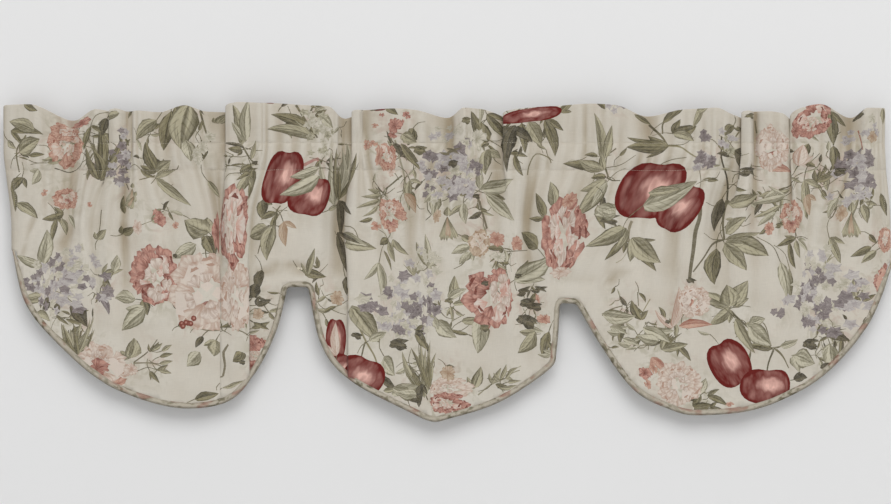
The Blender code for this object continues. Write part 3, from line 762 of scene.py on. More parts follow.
def scatter_puckers(width):
    """Ridges and dips where the stitching draws the cloth up: fine ones, then long soft ones."""
    draw = np.random.default_rng(41)
    puckers = []
    for seam, gap, wide, high, above, below in (
            (RUFFLE, 15.0, 4.4, 3.6, 30.0, 18.0), (LOWER_SEAM, 13.0, 4.6, 3.6, 18.0, 40.0),
            (LOWER_SEAM, 26.0, 7.0, 4.2, 22.0, 92.0), (RUFFLE, 31.0, 7.0, 3.6, 34.0, 24.0)):
        at = draw.uniform(0, gap)
        while at < width:
            puckers.append((at, wide * draw.uniform(0.7, 1.3),
                            high * draw.uniform(0.4, 1.0) * draw.choice((1, -0.7)),
                            above * draw.uniform(0.4, 1.2), below * draw.uniform(0.4, 1.2),
                            seam))
            at += gap * draw.uniform(0.6, 1.5)
    return puckers


# ---- The print, drawn shape by shape in painter's order ----


class Chart:
    """All the printed shapes on the flat cloth; a later one covers an earlier one."""

    PETAL, LEAF, FRUIT, STEM, FLORET = range(1, 6)      # and 0 is the bare ground

    def __init__(self):
        self.outlines, self.locals, self.codes, self.inks = [], [], [], []
        self.draw = np.random.default_rng(7)

    def add(self, outline, local, kind, ink):
        self.outlines.append(outline)
        self.locals.append(local)
        self.codes.append(kind + 0.98 * self.draw.random())
        self.inks.append(ink)


class Pen:
    """A place, turn and size on the flat cloth at which shapes are drawn."""

    def __init__(self, chart, matrix, origin):
        self.chart, self.matrix, self.origin = chart, matrix, np.array(origin, dtype=float)
        self.undo = np.linalg.inv(matrix)

    def at(self, x=0.0, y=0.0, turn=0.0, wide=1.0, high=None):
        high = wide if high is None else high
        c, s = math.cos(math.radians(turn)), math.sin(math.radians(turn))
        step = np.array([[c * wide, -s * high], [s * wide, c * high]])
        return Pen(self.chart, self.matrix @ step, self.matrix @ (x, y) + self.origin)

    def shape(self, outline, local, kind, ink):
        outline = np.array(outline, dtype=float)
        self.chart.add(outline @ self.matrix.T + self.origin,
                       lambda flat: local((flat - self.origin) @ self.undo.T), kind, ink)

    # Plain shapes

    def petal(self, turn, inner, outer, half, ink, wavy=0.07):
        """A petal that fans out from the pen's place, with a wavy rim."""
        draw = self.chart.draw
        swing = np.linspace(-1, 1, 7)
        frill = np.sin(swing * draw.uniform(4.5, 8.0) + draw.uniform(0, 6))
        rim = outer * (1 - 0.14 * swing ** 4 + wavy * (frill + 0.3 * draw.uniform(-1, 1, 7)))
        angle = np.radians(turn + half * swing)
        foot = np.radians(turn + half * 0.55 * np.array([1, -1]))
        outline = np.vstack([np.column_stack([rim * np.cos(angle), rim * np.sin(angle)]),
                             np.column_stack([inner * np.cos(foot), inner * np.sin(foot)])])

        def local(p):
            off = (np.degrees(np.arctan2(p[:, 1], p[:, 0])) - turn + 180) % 360 - 180
            return np.column_stack([off / half, (np.hypot(*p.T) - inner) / (outer - inner)])
        self.shape(outline, local, Chart.PETAL, ink)

    def leaf(self, long, wide, ink, bend=0.0, teeth=0.0):
        """A pointed leaf that grows from the pen's place along its x; bend curves it."""
        draw = self.chart.draw
        t = np.array([0.0, 0.13, 0.32, 0.52, 0.72, 0.88, 1.0])

        def half_width(t):
            t = np.clip(t, 0.0, 1.0)
            return wide / 2 * np.sin(np.pi * t ** 0.8) ** 0.9 * (1.12 - 0.3 * t) + wide * 0.02

        def middle(t):
            return bend * long * 4 * t * (1 - t) * 0.25 + bend * long * 0.3 * t * t
        jag = 1 + teeth * draw.uniform(-1, 1, len(t))
        upper = np.column_stack([t * long, middle(t) + half_width(t) * jag])
        lower = np.column_stack([t * long, middle(t) - half_width(t) * jag[::-1]])[::-1]

        def local(p):
            share = p[:, 0] / long
            return np.column_stack([(p[:, 1] - middle(share)) / (half_width(share) + 0.02),
                                    share])
        self.shape(np.vstack([upper, lower[1:-1]]), local, Chart.LEAF, ink)

    def stem(self, points, start, end, ink):
        """A thin stalk along a smooth line, from one width to another."""
        line = smooth_line(points, 7.0)
        along = np.gradient(line, axis=0)
        along /= np.linalg.norm(along, axis=1)[:, None] + 1e-9
        side = np.column_stack([-along[:, 1], along[:, 0]])
        half = np.linspace(start, end, len(line))[:, None] / 2
        outline = np.vstack([line + side * half, (line - side * half)[::-1]])
        self.shape(outline, lambda p: np.column_stack([p[:, 0] * 0.1, p[:, 1] * 0.1]),
                   Chart.STEM, ink)
        return line, along

    def floret(self, radius, ink, turn):
        """A small star of pointed petals in one shape."""
        lobes = 5
        count = lobes * 2
        angle = np.arange(count) * 2 * np.pi / count + math.radians(turn)
        swell = np.where(np.arange(count) % 2 == 0, 0.6, 0.97) \
            * self.chart.draw.uniform(0.8, 1.15, count)
        outline = radius * np.column_stack([swell * np.cos(angle), swell * np.sin(angle)])

        def local(p):
            return np.column_stack([(np.arctan2(p[:, 1], p[:, 0]) - math.radians(turn))
                                    * lobes / (2 * np.pi), np.hypot(*p.T) / radius])
        self.shape(outline, local, Chart.FLORET, ink)

    def fruit(self, wide, high, ink, dent=0.0, count=18, lobed=0.0):
        """An oval, with dents where its stalk and its flower were."""
        angle = np.arange(count) * 2 * np.pi / count

        def dip(middle, width):
            return np.exp(-(((angle - middle + np.pi) % (2 * np.pi) - np.pi) / width) ** 2)
        rim = 1 - dent * dip(np.pi / 2, 0.32) - 0.5 * dent * dip(-np.pi / 2, 0.3) \
            + lobed * (np.sin(angle) - np.cos(4 * angle + 0.5))
        outline = np.column_stack([wide / 2 * rim * np.cos(angle),
                                   high / 2 * rim * np.sin(angle)])
        self.shape(outline, lambda p: p / (wide / 2, high / 2), Chart.FRUIT, ink)

    # Flowers, berries and sprays made of plain shapes

    def rose(self, wide, high, outer, heart, heart_wide, heart_high, off_x, off_y):
        """An open rose: uneven frilled petals, dark between them, then an oval heart."""
        draw = self.chart.draw
        flower = self.at(wide=wide / 2, high=high / 2)
        middle = self.at(off_x, off_y, wide=heart_wide / 2, high=heart_high / 2)
        blush = (outer[1], heart[1])

        def ring(pen, count, out, size, inks, shade, frill):
            turns = np.arange(count) * 360 / count + draw.uniform(0, 360)
            for turn in draw.permutation(turns) + draw.uniform(-14, 14, count):
                c, s = math.cos(math.radians(turn)), math.sin(math.radians(turn))
                reach = size * draw.uniform(0.78, 1.12)
                place = pen.at(out * c, out * s)
                place.petal(turn + draw.uniform(-20, 20), 0.0, reach, draw.uniform(40, 62),
                            inks[int(draw.random() * len(inks))], frill)
                if draw.random() < shade:
                    place.petal(turn + draw.uniform(-50, 50), 0.70 * reach, 0.86 * reach,
                                draw.uniform(16, 30), (inks[0][0], inks[0][0]), 0.05)
        ring(flower, 12, 0.50, 0.46, (outer,), 0.5, 0.12)
        ring(flower, 9, 0.28, 0.50, (outer, outer, blush), 0.6, 0.10)
        ring(middle, 6, 0.50, 0.62, (heart,), 0.3, 0.10)
        ring(middle, 4, 0.18, 0.50, (heart, blush), 0.3, 0.08)

    def scrap(self, wide, high, ink):
        """Part of a leafy bit of the print: short leaves that cross."""
        for turn, share in ((12, 1.1), (-28, 1.0), (165, 0.7)):
            self.at(-wide / 2 * math.cos(math.radians(turn)), -high / 2
                    * math.sin(math.radians(turn)), turn).leaf(
                        max(wide, high) * share, min(wide, high) * 0.6, ink, 0.3)

    def dab(self, wide, high, ink):
        """A loose bit of a flower: a few frilled petals round its middle."""
        draw = self.chart.draw
        place = self.at(wide=wide / 2, high=high / 2)
        count = 5 if wide * high > 250 else 3
        for turn in np.arange(count) * 360 / count + draw.uniform(0, 360):
            c, s = math.cos(math.radians(turn)), math.sin(math.radians(turn))
            place.at(-0.12 * c, -0.12 * s).petal(turn + draw.uniform(-25, 25), 0.0,
                                                 1.05 * draw.uniform(0.75, 1.15),
                                                 draw.uniform(34, 52), ink, 0.12)

    def cluster(self, wide, high, count, inks, size):
        """A head of small flowers, close together, with paler ones scattered in it."""
        draw = self.chart.draw
        shares = np.array(INK_SHARES[:len(inks)]) / sum(INK_SHARES[:len(inks)])
        for _ in range(count):
            angle, share = draw.uniform(0, 2 * np.pi), draw.random() ** 0.62
            x, y = wide / 2 * share * math.cos(angle), high / 2 * share * math.sin(angle)
            ink = inks[draw.choice(len(inks), p=shares)]
            self.at(x, y).floret(size * draw.uniform(0.8, 1.3), ink, draw.uniform(0, 90))

    def bud(self, size, ink, sepal):
        """A closed bud on a short stalk, with its green sepals."""
        self.stem([(-size * 1.3, 0), (0, 0)], 1.2, 1.0, sepal)
        for turn in (28, -26, 0):
            self.petal(turn, 0.0, size, 26, ink)
        for turn in (38, -38, 5):
            self.at(turn=turn).leaf(size * 0.62, size * 0.24, sepal)

    def bell(self, size, ink, heart, sepal):
        """A small drooping flower, seen from the side."""
        for turn in (17, -16, 8, -8, 0):
            self.petal(turn, 0.0, size * (1.0 if turn else 0.85), 9, heart if turn else ink)
        self.at(turn=180).leaf(size * 0.4, size * 0.3, sepal)

    def berries(self, count, size, ink, spread):
        draw = self.chart.draw
        for _ in range(count):
            self.at(*draw.uniform(-spread, spread, 2)).fruit(size, size, ink, count=8)

    def tuft(self, count, long, ink, fan):
        """Narrow blades that fan out from one root."""
        draw = self.chart.draw
        for number in range(count):
            turn = 90 + fan * (number / max(count - 1, 1) - 0.5) * 2 + draw.uniform(-6, 6)
            self.at(draw.uniform(-2, 2), 0, turn).leaf(
                long * draw.uniform(0.6, 1.1), long * 0.11, ink, draw.uniform(-0.5, 0.5))

    def thicket(self, wide, high, count):
        """Small narrow leaves and curling twigs, strewn closely."""
        draw = self.chart.draw
        for number in range(count):
            place = self.at(*draw.normal(0, 0.26, 2) * (wide, high), draw.uniform(0, 360))
            ink = INKS[("olive", "sage", "dark", "grey_green", "olive")[number % 5]]
            long = draw.uniform(9, 22)
            place.stem([(0, 0), (-0.5 * long, 2), (-long, draw.uniform(-8, 8))], 1.3, 0.7,
                       INKS["olive"])
            place.leaf(long, long * draw.uniform(0.2, 0.4), ink, draw.uniform(-0.8, 0.8))


def draw_print(drape):
    """Every motif where it shows on the hanging cloth, in painter's order."""
    chart = Chart()
    draw = chart.draw

    def pen(x, z, turn=0.0, width=14.0):
        (a, v), = drape.flat([(x, z)])
        spread = drape.spread(x, z, width)
        return Pen(chart, np.array([[spread, 0.0], [0.0, -1.0]]), (a, v)).at(turn=turn)

    def draw_leaves(leaves):
        for ink, rows in leaves.items():
            for x, z, turn, long, wide in rows:
                foot = pen(x, z, turn)
                if draw.random() < 0.55:
                    side = draw.choice((-1, 1))
                    foot.stem([(0, 0), (-0.4 * long, 0.12 * side * long),
                               (-0.7 * long, 0.4 * side * long)], 1.3, 0.8, INKS["olive"])
                if long > 14 and draw.random() < 0.45:
                    foot.at(turn=draw.choice((-1, 1)) * draw.uniform(35, 60)).leaf(
                        0.62 * long, 0.7 * wide, INKS[ink], 0.3, teeth=0.1)
                foot.leaf(1.06 * long, 1.18 * wide, INKS[ink], 0.5 * draw.uniform(-1, 1),
                          teeth=0.1)

    def draw_dabs(dabs):
        for ink, rows in dabs.items():
            for x, z, turn, wide, high in rows:
                place = pen(x, z, turn)
                if ink.startswith("lilac"):
                    place.cluster(wide, high, 6, [INKS[ink]], 6.0)
                else:
                    (place.scrap if ink in GREENS else place.dab)(wide, high, INKS[ink])

    for ink, rows in STEMS.items():
        for wide, *places in rows:
            line = drape.flat(np.reshape(places, (-1, 2))) * (1, -1)
            Pen(chart, np.diag([1.0, -1.0]), (0, 0)).stem(line, wide, 0.7 * wide, INKS[ink])
    for x, z, wide, high, count in THICKETS:
        pen(x, z, 0, wide).thicket(wide, high, count)
    for x, z, turn, count, long, fan, ink in TUFTS:
        pen(x, z, turn, 30).tuft(count, long, INKS[ink], fan)
    draw_leaves(LEAVES)
    for x, z, turn, wide, high, count, size, *names in CLUSTERS:
        pen(x, z, turn, wide).cluster(wide, high, count, [INKS[name] for name in names], size)
    for x, z, turn, size, ink in BUDS:
        pen(x, z, turn).bud(size, INKS[ink], INKS["sage"])
    for x, z, turn, size, tip, cup in BELLS:
        pen(x, z, turn).bell(size, INKS[tip], INKS[cup], INKS["sage"])
    for x, z, turn, wide, high, outer, heart, *middle in ROSES:
        pen(x, z, turn, wide).rose(wide, high, INKS[outer], INKS[heart], *middle)
    draw_dabs(DABS)
    for x, z, turn, wide, high in FRUITS:
        pen(x, z, turn, wide).fruit(wide, high, INKS["fruit"], dent=0.15, count=30, lobed=0.03)
    for x, z, count, size, spread, ink in BERRIES:
        pen(x, z).berries(count, size, INKS[ink], spread)
    draw_leaves(TOP_LEAVES)
    draw_dabs(TOP_DABS)
    draw_behind(chart, drape.width)
    return chart


def draw_behind(chart, width):
    """The same motifs, strewn over the strip of cloth that goes down behind."""
    draw = chart.draw
    a = 30.0
    while a < width - 20:
        pen = Pen(chart, np.diag([1.0, -1.0]), (a, -draw.uniform(22, 80)))
        kind = draw.integers(4)
        if kind == 0:
            pen.rose(62, 70, INKS["rose"], INKS["heart"], 28, 36, 3, 0)
        elif kind == 1:
            pen.cluster(64, 60, 26, [INKS[name] for name in
                                     ("lilac_pale", "lilac", "cream_floret")], 7.5)
        elif kind == 2:
            pen.fruit(44, 48, INKS["fruit"], dent=0.1)
        for number in range(5):
            pen.at(*draw.uniform(-30, 30, 2), turn=draw.uniform(0, 360)).leaf(
                draw.uniform(20, 42), draw.uniform(8, 15),
                INKS[("sage", "olive", "grey_green")[number % 3]], draw.uniform(-0.5, 0.5))
        a += draw.uniform(46, 74)


# ---- The cloth, cut along the edges of its print ----


def inside(points, outline):
    """Which points lie inside a closed outline."""
    found = np.zeros(len(points), dtype=bool)
    x, y = points[:, 0], points[:, 1]
    for (x0, y0), (x1, y1) in zip(outline, np.roll(outline, -1, axis=0)):
        if y0 == y1:
            continue
        crosses = (y0 > y) != (y1 > y)
        found ^= crosses & (x < (x1 - x0) * (y - y0) / (y1 - y0) + x0)
    return found


def near(points, outline):
    """Indices of the points in an outline's box."""
    low, high = outline.min(axis=0), outline.max(axis=0)
    return np.flatnonzero((points[:, 0] >= low[0]) & (points[:, 0] <= high[0])
                          & (points[:, 1] >= low[1]) & (points[:, 1] <= high[1]))


def cut_outline(drape):
    """The flat cloth's outline: flap, right side, scalloped edge and left side."""
    def run(start, end):
        count = max(1, int(math.ceil(math.dist(start, end) / EDGE_STEP)))
        return [(start[0] + (end[0] - start[0]) * t, start[1] + (end[1] - start[1]) * t)
                for t in np.arange(count) / count]
    cut = drape.cut
    even = np.arange(0.0, lengths_along(cut)[-1], EDGE_STEP)
    hem = np.column_stack([np.interp(even, lengths_along(cut), cut[:, axis])
                           for axis in (0, 1)])
    hem[0] = cut[0]
    hem = np.vstack([hem, cut[-1:]])
    width = drape.width
    return np.array(run((0, FLAP_EDGE), (width, FLAP_EDGE))
                    + run((width, FLAP_EDGE), tuple(hem[-1])) + hem[::-1].tolist()[:-1]
                    + run(tuple(hem[0]), (0, FLAP_EDGE)))


def grid_points(drape, outline):
    """Points spread over the cloth, with a column at every fold line."""
    def columns(step):
        found = []
        for start, end in zip(drape.folds_at, drape.folds_at[1:]):
            count = max(2, int(math.ceil((end - start) / step)))
            found.extend(start + (end - start) * np.arange(count) / count)
        return np.array(found[1:])

    def rows(start, end, step):
        count = int(math.ceil((end - start) / step))
        return np.linspace(start, end, count + 1)
    turn = -TURN * np.array([0.0, 0.2, 0.4, 0.6, 0.8, 1.0])
    seam = [-2.4, -0.9, 0.0, 0.9, 2.4]
    bands = ((HEADING_STEP[0], np.concatenate([
                turn, rows(3.0, RUFFLE - 4, HEADING_STEP[1]), np.add(seam, RUFFLE),
                rows(RUFFLE + 4.5, LOWER_SEAM - 4.5, HEADING_STEP[1]),
                np.add(seam, LOWER_SEAM)])),
             (BODY_STEP[0], rows(LOWER_SEAM + 6, GRID_END, BODY_STEP[1])),
             (BACK_STEP[0], -np.concatenate([
                 rows(TURN + 4, TURN + RUFFLE - 3, BACK_STEP[1]),
                 [TURN + RUFFLE],
                 rows(TURN + RUFFLE + 3, TURN + RUFFLE + CASING_BACK - 3, CASING_BACK_STEP),
                 [TURN + RUFFLE + CASING_BACK]])))
    found = []
    for step, heights in bands:
        across = columns(step)
        for height in heights:
            found.append(np.column_stack([across, np.full(len(across), height)]))
    found = np.vstack(found)
    hem = drape.cut
    clear = inside(found, outline)
    low = np.flatnonzero(found[:, 1] > HEM_TOP)
    for start in range(0, len(low), HEM_BATCH):
        part = low[start:start + HEM_BATCH]
        away = np.hypot(found[part, None, 0] - hem[None, ::2, 0],
                        found[part, None, 1] - hem[None, ::2, 1]).min(axis=1)
        clear[part] &= away > HEM_CLEARANCE
    return found[clear]


def print_edges(chart, outline):
    """The parts of the shapes' edges that no later shape and no cut hides, in short pieces."""
    starts, ends, owners = [], [], []
    for owner, shape in enumerate(chart.outlines):
        for start, end in zip(shape, np.roll(shape, -1, axis=0)):
            count = max(1, int(math.ceil(np.linalg.norm(end - start) / INK_STEP)))
            t = np.arange(count + 1)[:, None] / count
            line = start + (end - start) * t
            starts.append(line[:-1])
            ends.append(line[1:])
            owners.extend([owner] * count)
    starts, ends, owners = np.vstack(starts), np.vstack(ends), np.array(owners)
    middles = (starts + ends) / 2
    shown = inside(starts, outline) & inside(ends, outline)
    for owner, shape in enumerate(chart.outlines):
        close = near(middles, shape)
        close = close[(owners[close] < owner) & shown[close]]
        shown[close[inside(middles[close], shape)]] = False
    return starts[shown], ends[shown]


def cloth_triangles(outline, grid, starts, ends):
    """The flat cloth as triangles that follow the given lines."""
    points = np.vstack([outline, grid, starts, ends])
    first = len(outline) + len(grid)
    rim = [(place, (place + 1) % len(outline)) for place in range(len(outline))]
    ink = [(first + place, first + len(starts) + place) for place in range(len(starts))]
    corners, _, faces, _, _, _ = delaunay_2d_cdt([Vector(p) for p in points.tolist()],
                                                 rim + ink, [], 0, WELD, False)
    corners = np.array([tuple(c) for c in corners])
    faces = np.array([face for face in faces if len(face) == 3])
    middles = corners[faces].mean(axis=1)
    faces = faces[inside(middles, outline)]
    edge = corners[faces]
    area = ((edge[:, 1, 0] - edge[:, 0, 0]) * (edge[:, 2, 1] - edge[:, 0, 1])
            - (edge[:, 2, 0] - edge[:, 0, 0]) * (edge[:, 1, 1] - edge[:, 0, 1]))
    large = np.abs(area) > SLIVER
    faces, area = faces[large], area[large]
    faces[area > 0] = faces[area > 0][:, ::-1]      # v runs down, so the front turns this way
    used, faces = np.unique(faces, return_inverse=True)
    return corners[used], faces.reshape(-1, 3)


def ink_faces(chart, corners, faces):
    """For each triangle, which printed shape it shows, or -1 for the bare ground."""
    middles = corners[faces].mean(axis=1)
    shape_of = np.full(len(faces), -1)
    for number, shape in enumerate(chart.outlines):
        close = near(middles, shape)
        shape_of[close[inside(middles[close], shape)]] = number
    return shape_of


def print_values(chart, corners, faces, shape_of):
    """What the print's material reads at each corner of each triangle."""
    local = np.zeros((len(faces), 3, 3))
    deep = np.tile(linear(GROUND_COLOUR), (len(faces), 3, 1))
    pale = deep.copy()
    order = np.argsort(shape_of, kind="stable")
    bounds = np.searchsorted(shape_of[order], np.arange(len(chart.outlines) + 1))
    for number in range(len(chart.outlines)):
        chosen = order[bounds[number]:bounds[number + 1]]
        if not len(chosen):
            continue
        flat = corners[faces[chosen]].reshape(-1, 2)
        local[chosen, :, :2] = np.clip(chart.locals[number](flat), -3, 3).reshape(-1, 3, 2)
        local[chosen, :, 2] = chart.codes[number]
        deep[chosen] = linear(chart.inks[number][0])
        pale[chosen] = linear(chart.inks[number][1])
    return local, deep, pale


def crowding(chart, flat):
    """How thickly the printed shapes lie about each place, from 0 to 1."""
    middles = np.array([shape.mean(axis=0) for shape in chart.outlines])
    count, _, _ = np.histogram2d(*middles.T, bins=[
        np.arange(first, last, WASH_CELL) for first, last in zip(WASH_FIRST, WASH_LAST)])
    count = np.minimum(count, WASH_FULL)
    for axis in (0, 1, 0, 1):
        count = np.apply_along_axis(moving_mean, axis, count, 1)
    place = ((flat - WASH_FIRST) / WASH_CELL).astype(int)
    return np.clip(count[place[:, 0], place[:, 1]], 0.0, 1.0)


def bake_place(flat, wrong_side, width):
    """Where a flat place lies in the square that colours are baked into."""
    a, v = flat[..., 0], flat[..., 1]
    depth = v - FLAP_EDGE
    if wrong_side:
        scale = BAKE_BACK / width
        return np.stack([BAKE_BACK_AT[0] - depth * scale * BAKE_BACK_SQUEEZE,
                         BAKE_BACK_AT[1] + a * scale], axis=-1)
    high = LOWEST - FLAP_EDGE
    scale = BAKE_FRONT / (2 * high)
    half = width / 2
    right = (a.mean(axis=-1, keepdims=True) > half) * np.ones_like(a)
    return np.stack([BAKE_FRONT_AT[0] + (a - right * half) * scale,
                     BAKE_FRONT_AT[1] + (high - depth) * scale + right * BAKE_RIGHT_HALF_UP],
                    axis=-1)


def mesh_from(name, points, faces):
    mesh = bpy.data.meshes.new(name)
    mesh.from_pydata([tuple(point) for point in points], [], [tuple(face) for face in faces])
    mesh.shade_smooth()
    return mesh


def add_to_scene(name, data, place=(0, 0, 0)):
    thing = bpy.data.objects.new(name, data)
    thing.location = place
    bpy.context.scene.collection.objects.link(thing)
    return thing


def add_piece(name, mesh, materials):
    for material in materials:
        mesh.materials.append(material)
    return add_to_scene(name, mesh)


def add_values(mesh, name, kind, domain, values):
    """Keep a value at each corner or point of the mesh, for its materials to read."""
    field = {"FLOAT": "value", "FLOAT_VECTOR": "vector", "FLOAT_COLOR": "color"}[kind]
    layer = mesh.attributes.new(name, kind, domain)
    layer.data.foreach_set(field, values.astype(np.float32).ravel())


def rim_of(corners, faces):
    """The places round the edge of a layer of triangles, in order from the first corner."""
    pairs = {}
    for face in faces.tolist():
        for start, end in zip(face, face[1:] + face[:1]):
            pairs[start, end] = pairs.get((start, end), 0) + 1
    onward = {start: end for start, end in pairs if (end, start) not in pairs}
    place = min(onward, key=lambda number: corners[number][0] * 0.001 + corners[number][1])
    rim = [place]
    while onward[rim[-1]] != place:
        rim.append(onward[rim[-1]])
    line = corners[rim + [place]]
    length = lengths_along(line)
    return rim, length / length[-1]


def join_rims(front, front_at, behind, behind_at):
    """Triangles that close the edge between two layers whose rims run the same way."""
    faces, here, there = [], 0, 0
    while here < len(front) or there < len(behind):
        if there == len(behind) or (here < len(front)
                                    and front_at[here + 1] <= behind_at[there + 1]):
            faces.append((front[here], behind[there % len(behind)],
                          front[(here + 1) % len(front)]))
            here += 1
        else:
            faces.append((front[here % len(front)], behind[there],
                          behind[(there + 1) % len(behind)]))
            there += 1
    return faces


def build_cloth(drape):
    """The printed cotton: a fine layer that carries the print, and a plainer wrong side."""
    chart = draw_print(drape)
    outline = cut_outline(drape)
    grid = grid_points(drape, outline)
    none = np.empty((0, 2))
    front, front_faces = cloth_triangles(outline, grid, *print_edges(chart, outline))
    behind, behind_faces = cloth_triangles(outline, grid, none, none)
    first = len(front)
    rim, rim_at = rim_of(front, front_faces)
    far_rim, far_at = rim_of(behind, behind_faces)
    edge_faces = np.array(join_rims(rim, rim_at, [place + first for place in far_rim], far_at))
    flat = np.vstack([front, behind])
    side = np.where(np.arange(len(flat)) < first, 1.0, -1.0)
    points = drape.place(*flat.T) + drape.outward(*flat.T) * side[:, None] \
        * (CLOTH_THICK / 2 * MM)
    faces = np.vstack([front_faces, behind_faces[:, ::-1] + first, edge_faces])
    mesh = mesh_from("printed_cloth", points, faces)

    shape_of = ink_faces(chart, front, front_faces)
    local, deep, pale = print_values(chart, front, front_faces, shape_of)
    spare = len(faces) - len(front_faces)
    for name, kind, values in (("local", "FLOAT_VECTOR", local), ("ink_deep", "FLOAT_COLOR", deep),
                               ("ink_pale", "FLOAT_COLOR", pale)):
        unused = np.zeros((spare, 3, values.shape[-1]))
        add_values(mesh, name, kind, "CORNER", np.concatenate([values, unused]))
    # painted shade for the folds, kept at each point for the material
    add_values(mesh, "hollow", "FLOAT", "POINT", drape.hollow(*flat.T))
    add_values(mesh, "wash", "FLOAT", "POINT", crowding(chart, flat))
    ghost = np.tile(linear(WRONG_SIDE_COLOUR), (len(flat), 1))
    for number, shape in enumerate(chart.outlines):
        close = near(flat, shape)
        close = close[inside(flat[close], shape)]
        ghost[close] = np.add(linear(chart.inks[number][0]), linear(chart.inks[number][1])) / 2
    add_values(mesh, "ghost", "FLOAT_COLOR", "POINT", ghost)
    on_wrong = np.arange(len(faces)) >= len(front_faces)
    mesh.polygons.foreach_set("material_index", on_wrong.astype(np.int32))
    corners = flat[faces]
    baked = bake_place(corners, False, drape.width)
    baked[on_wrong] = bake_place(corners[on_wrong], True, drape.width)
    for name, places in (("OFBake", baked), ("cloth", corners * MM)):
        layer = mesh.uv_layers.new(name=name)
        layer.data.foreach_set("uv", places.astype(np.float32).ravel())
    return add_piece("printed_cloth", mesh, [printed_cotton(), cotton_wrong_side()])


# ---- Binding and stitching ----


def tube(centres, across, thick, widths, heights, sides):
    """Oval rings round a line of places, joined up, with both ends closed."""
    turns = np.arange(sides) * 2 * np.pi / sides
    points = (centres[:, None] + across[:, None] * (np.cos(turns)[:, None] * widths[:, None, None])
              + thick[:, None] * (np.sin(turns)[:, None] * heights[:, None, None]))
    count = len(centres)
    faces = [(ring * sides + side, (ring + 1) * sides + side,
              (ring + 1) * sides + (side + 1) % sides, ring * sides + (side + 1) % sides)
             for ring in range(count - 1) for side in range(sides)]
    faces.append(tuple(range(sides)))
    faces.append(tuple(range((count - 1) * sides, count * sides))[::-1])
    return points.reshape(-1, 3), faces


def build_binding(drape, lower_edge):
    """The bias strip that is folded over the scalloped edge, slightly uneven in thickness."""
    length = np.arange(0.0, lower_edge.length[-1], BINDING_STEP)
    from_end = np.minimum(length, lower_edge.length[-1] - length)
    width = BINDING_END_WIDTH + (BINDING_WIDTH - BINDING_END_WIDTH) * ease(
        from_end / BINDING_END_RUN)
    sides_of_strip = []
    for line in (lower_edge.set_in(length, 0.0), lower_edge.set_in(length, width)):
        depth = moving_mean(drape.place(*drape.flat(line).T)[:, 1] / MM, 3)
        sides_of_strip.append(np.column_stack([line[:, 0], depth, line[:, 1]]))
    outer, inner = sides_of_strip
    along = unit(np.gradient((outer + inner) / 2, axis=0))
    across = unit(outer - inner)
    thick = unit(np.cross(across, along))
    thick *= np.sign(-thick[:, 1:2])
    swell = 1 + 0.06 * moving_mean(np.random.default_rng(5).uniform(-1, 1, len(length)), 1) \
        + 0.03 * np.sin(length / 11.0)
    points, faces = tube((outer + inner) / 2, across, thick, width / 2 * (1 + (swell - 1) * 0.3),
                         BINDING_THICK / 2 * swell, BINDING_SIDES)
    mesh = mesh_from("scallop_binding_strip", points * MM, faces)
    layer = mesh.uv_layers.new(name="strip")
    places = []
    for polygon in mesh.polygons:
        closing = max(vertex % BINDING_SIDES for vertex in polygon.vertices) == BINDING_SIDES - 1
        for loop in polygon.loop_indices:
            ring, side = divmod(mesh.loops[loop].vertex_index, BINDING_SIDES)
            turned = BINDING_SIDES if closing and not side else side
            places.append((length[ring] * MM, turned / BINDING_SIDES * BINDING_ROUND * MM))
    layer.data.foreach_set("uv", np.array(places, dtype=np.float32).ravel())
    return add_piece("scallop_binding_strip", mesh, [bias_binding()])


def stitch_row(drape, a, v):
    """Short raised stitches, end to end, along a line on the flat cloth."""
    line = np.column_stack([a, v])
    length = lengths_along(line)
    middles = np.arange(2.0, length[-1] - 2.0, STITCH_STEP)

    def at(places):
        places = np.clip(places, 0, length[-1])
        flat = np.column_stack([np.interp(places, length, line[:, axis]) for axis in (0, 1)])
        return flat, drape.place(*flat.T)
    (flat, here), (_, before), (_, after) = (
        at(middles + step) for step in (0, -STITCH_HALF, STITCH_HALF))
    out = drape.outward(*flat.T)
    across = unit(np.cross(out, unit(after - before)))
    raised = out * (CLOTH_THICK / 2 + STITCH_RISE) * MM
    sunk = raised - out * STITCH_SINK * MM
    points = [before + sunk]
    for share in (-0.5, 0.5):
        centre = here + (after - before) * share * 0.55 + raised
        for c, s in ((1, 0), (0, 1), (-1, 0), (0, -1)):
            points.append(centre + (across * c + out * s) * (STITCH_RADIUS * MM))
    points.append(after + sunk)
    faces = []
    for start in range(0, 10 * len(middles), 10):
        for side in range(4):
            near_1, near_2 = start + 1 + side, start + 1 + (side + 1) % 4
            faces += [(start, near_2, near_1), (near_1, near_2, near_2 + 4, near_1 + 4),
                      (near_1 + 4, near_2 + 4, start + 9)]
    return np.stack(points, axis=1).reshape(-1, 3), faces


def build_stitching(drape):
    """Both rows across the heading, in front and behind, and the two side hems."""
    a = np.arange(1.0, drape.width, 2.0)
    wander = 0.7 * np.sin(a / 23.0) + 0.5 * np.sin(a / 8.3)
    side = np.arange(2.0, 190.0, 2.0)
    rows = [(a, height + wander) for height in (
        RUFFLE, LOWER_SEAM, -(TURN + RUFFLE), -(TURN + RUFFLE + CASING_BACK))]
    rows += [(np.full(len(side), at), side) for at in (SIDE_HEM, drape.width - SIDE_HEM)]
    points, faces = [], []
    for across, down in rows:
        more, joined = stitch_row(drape, across, down)
        faces += [tuple(place + len(points) for place in face) for face in joined]
        points += list(more)
    return add_piece("seam_stitching", mesh_from("seam_stitching", points, faces),
                     [cotton_thread()])


# ---- Materials ----

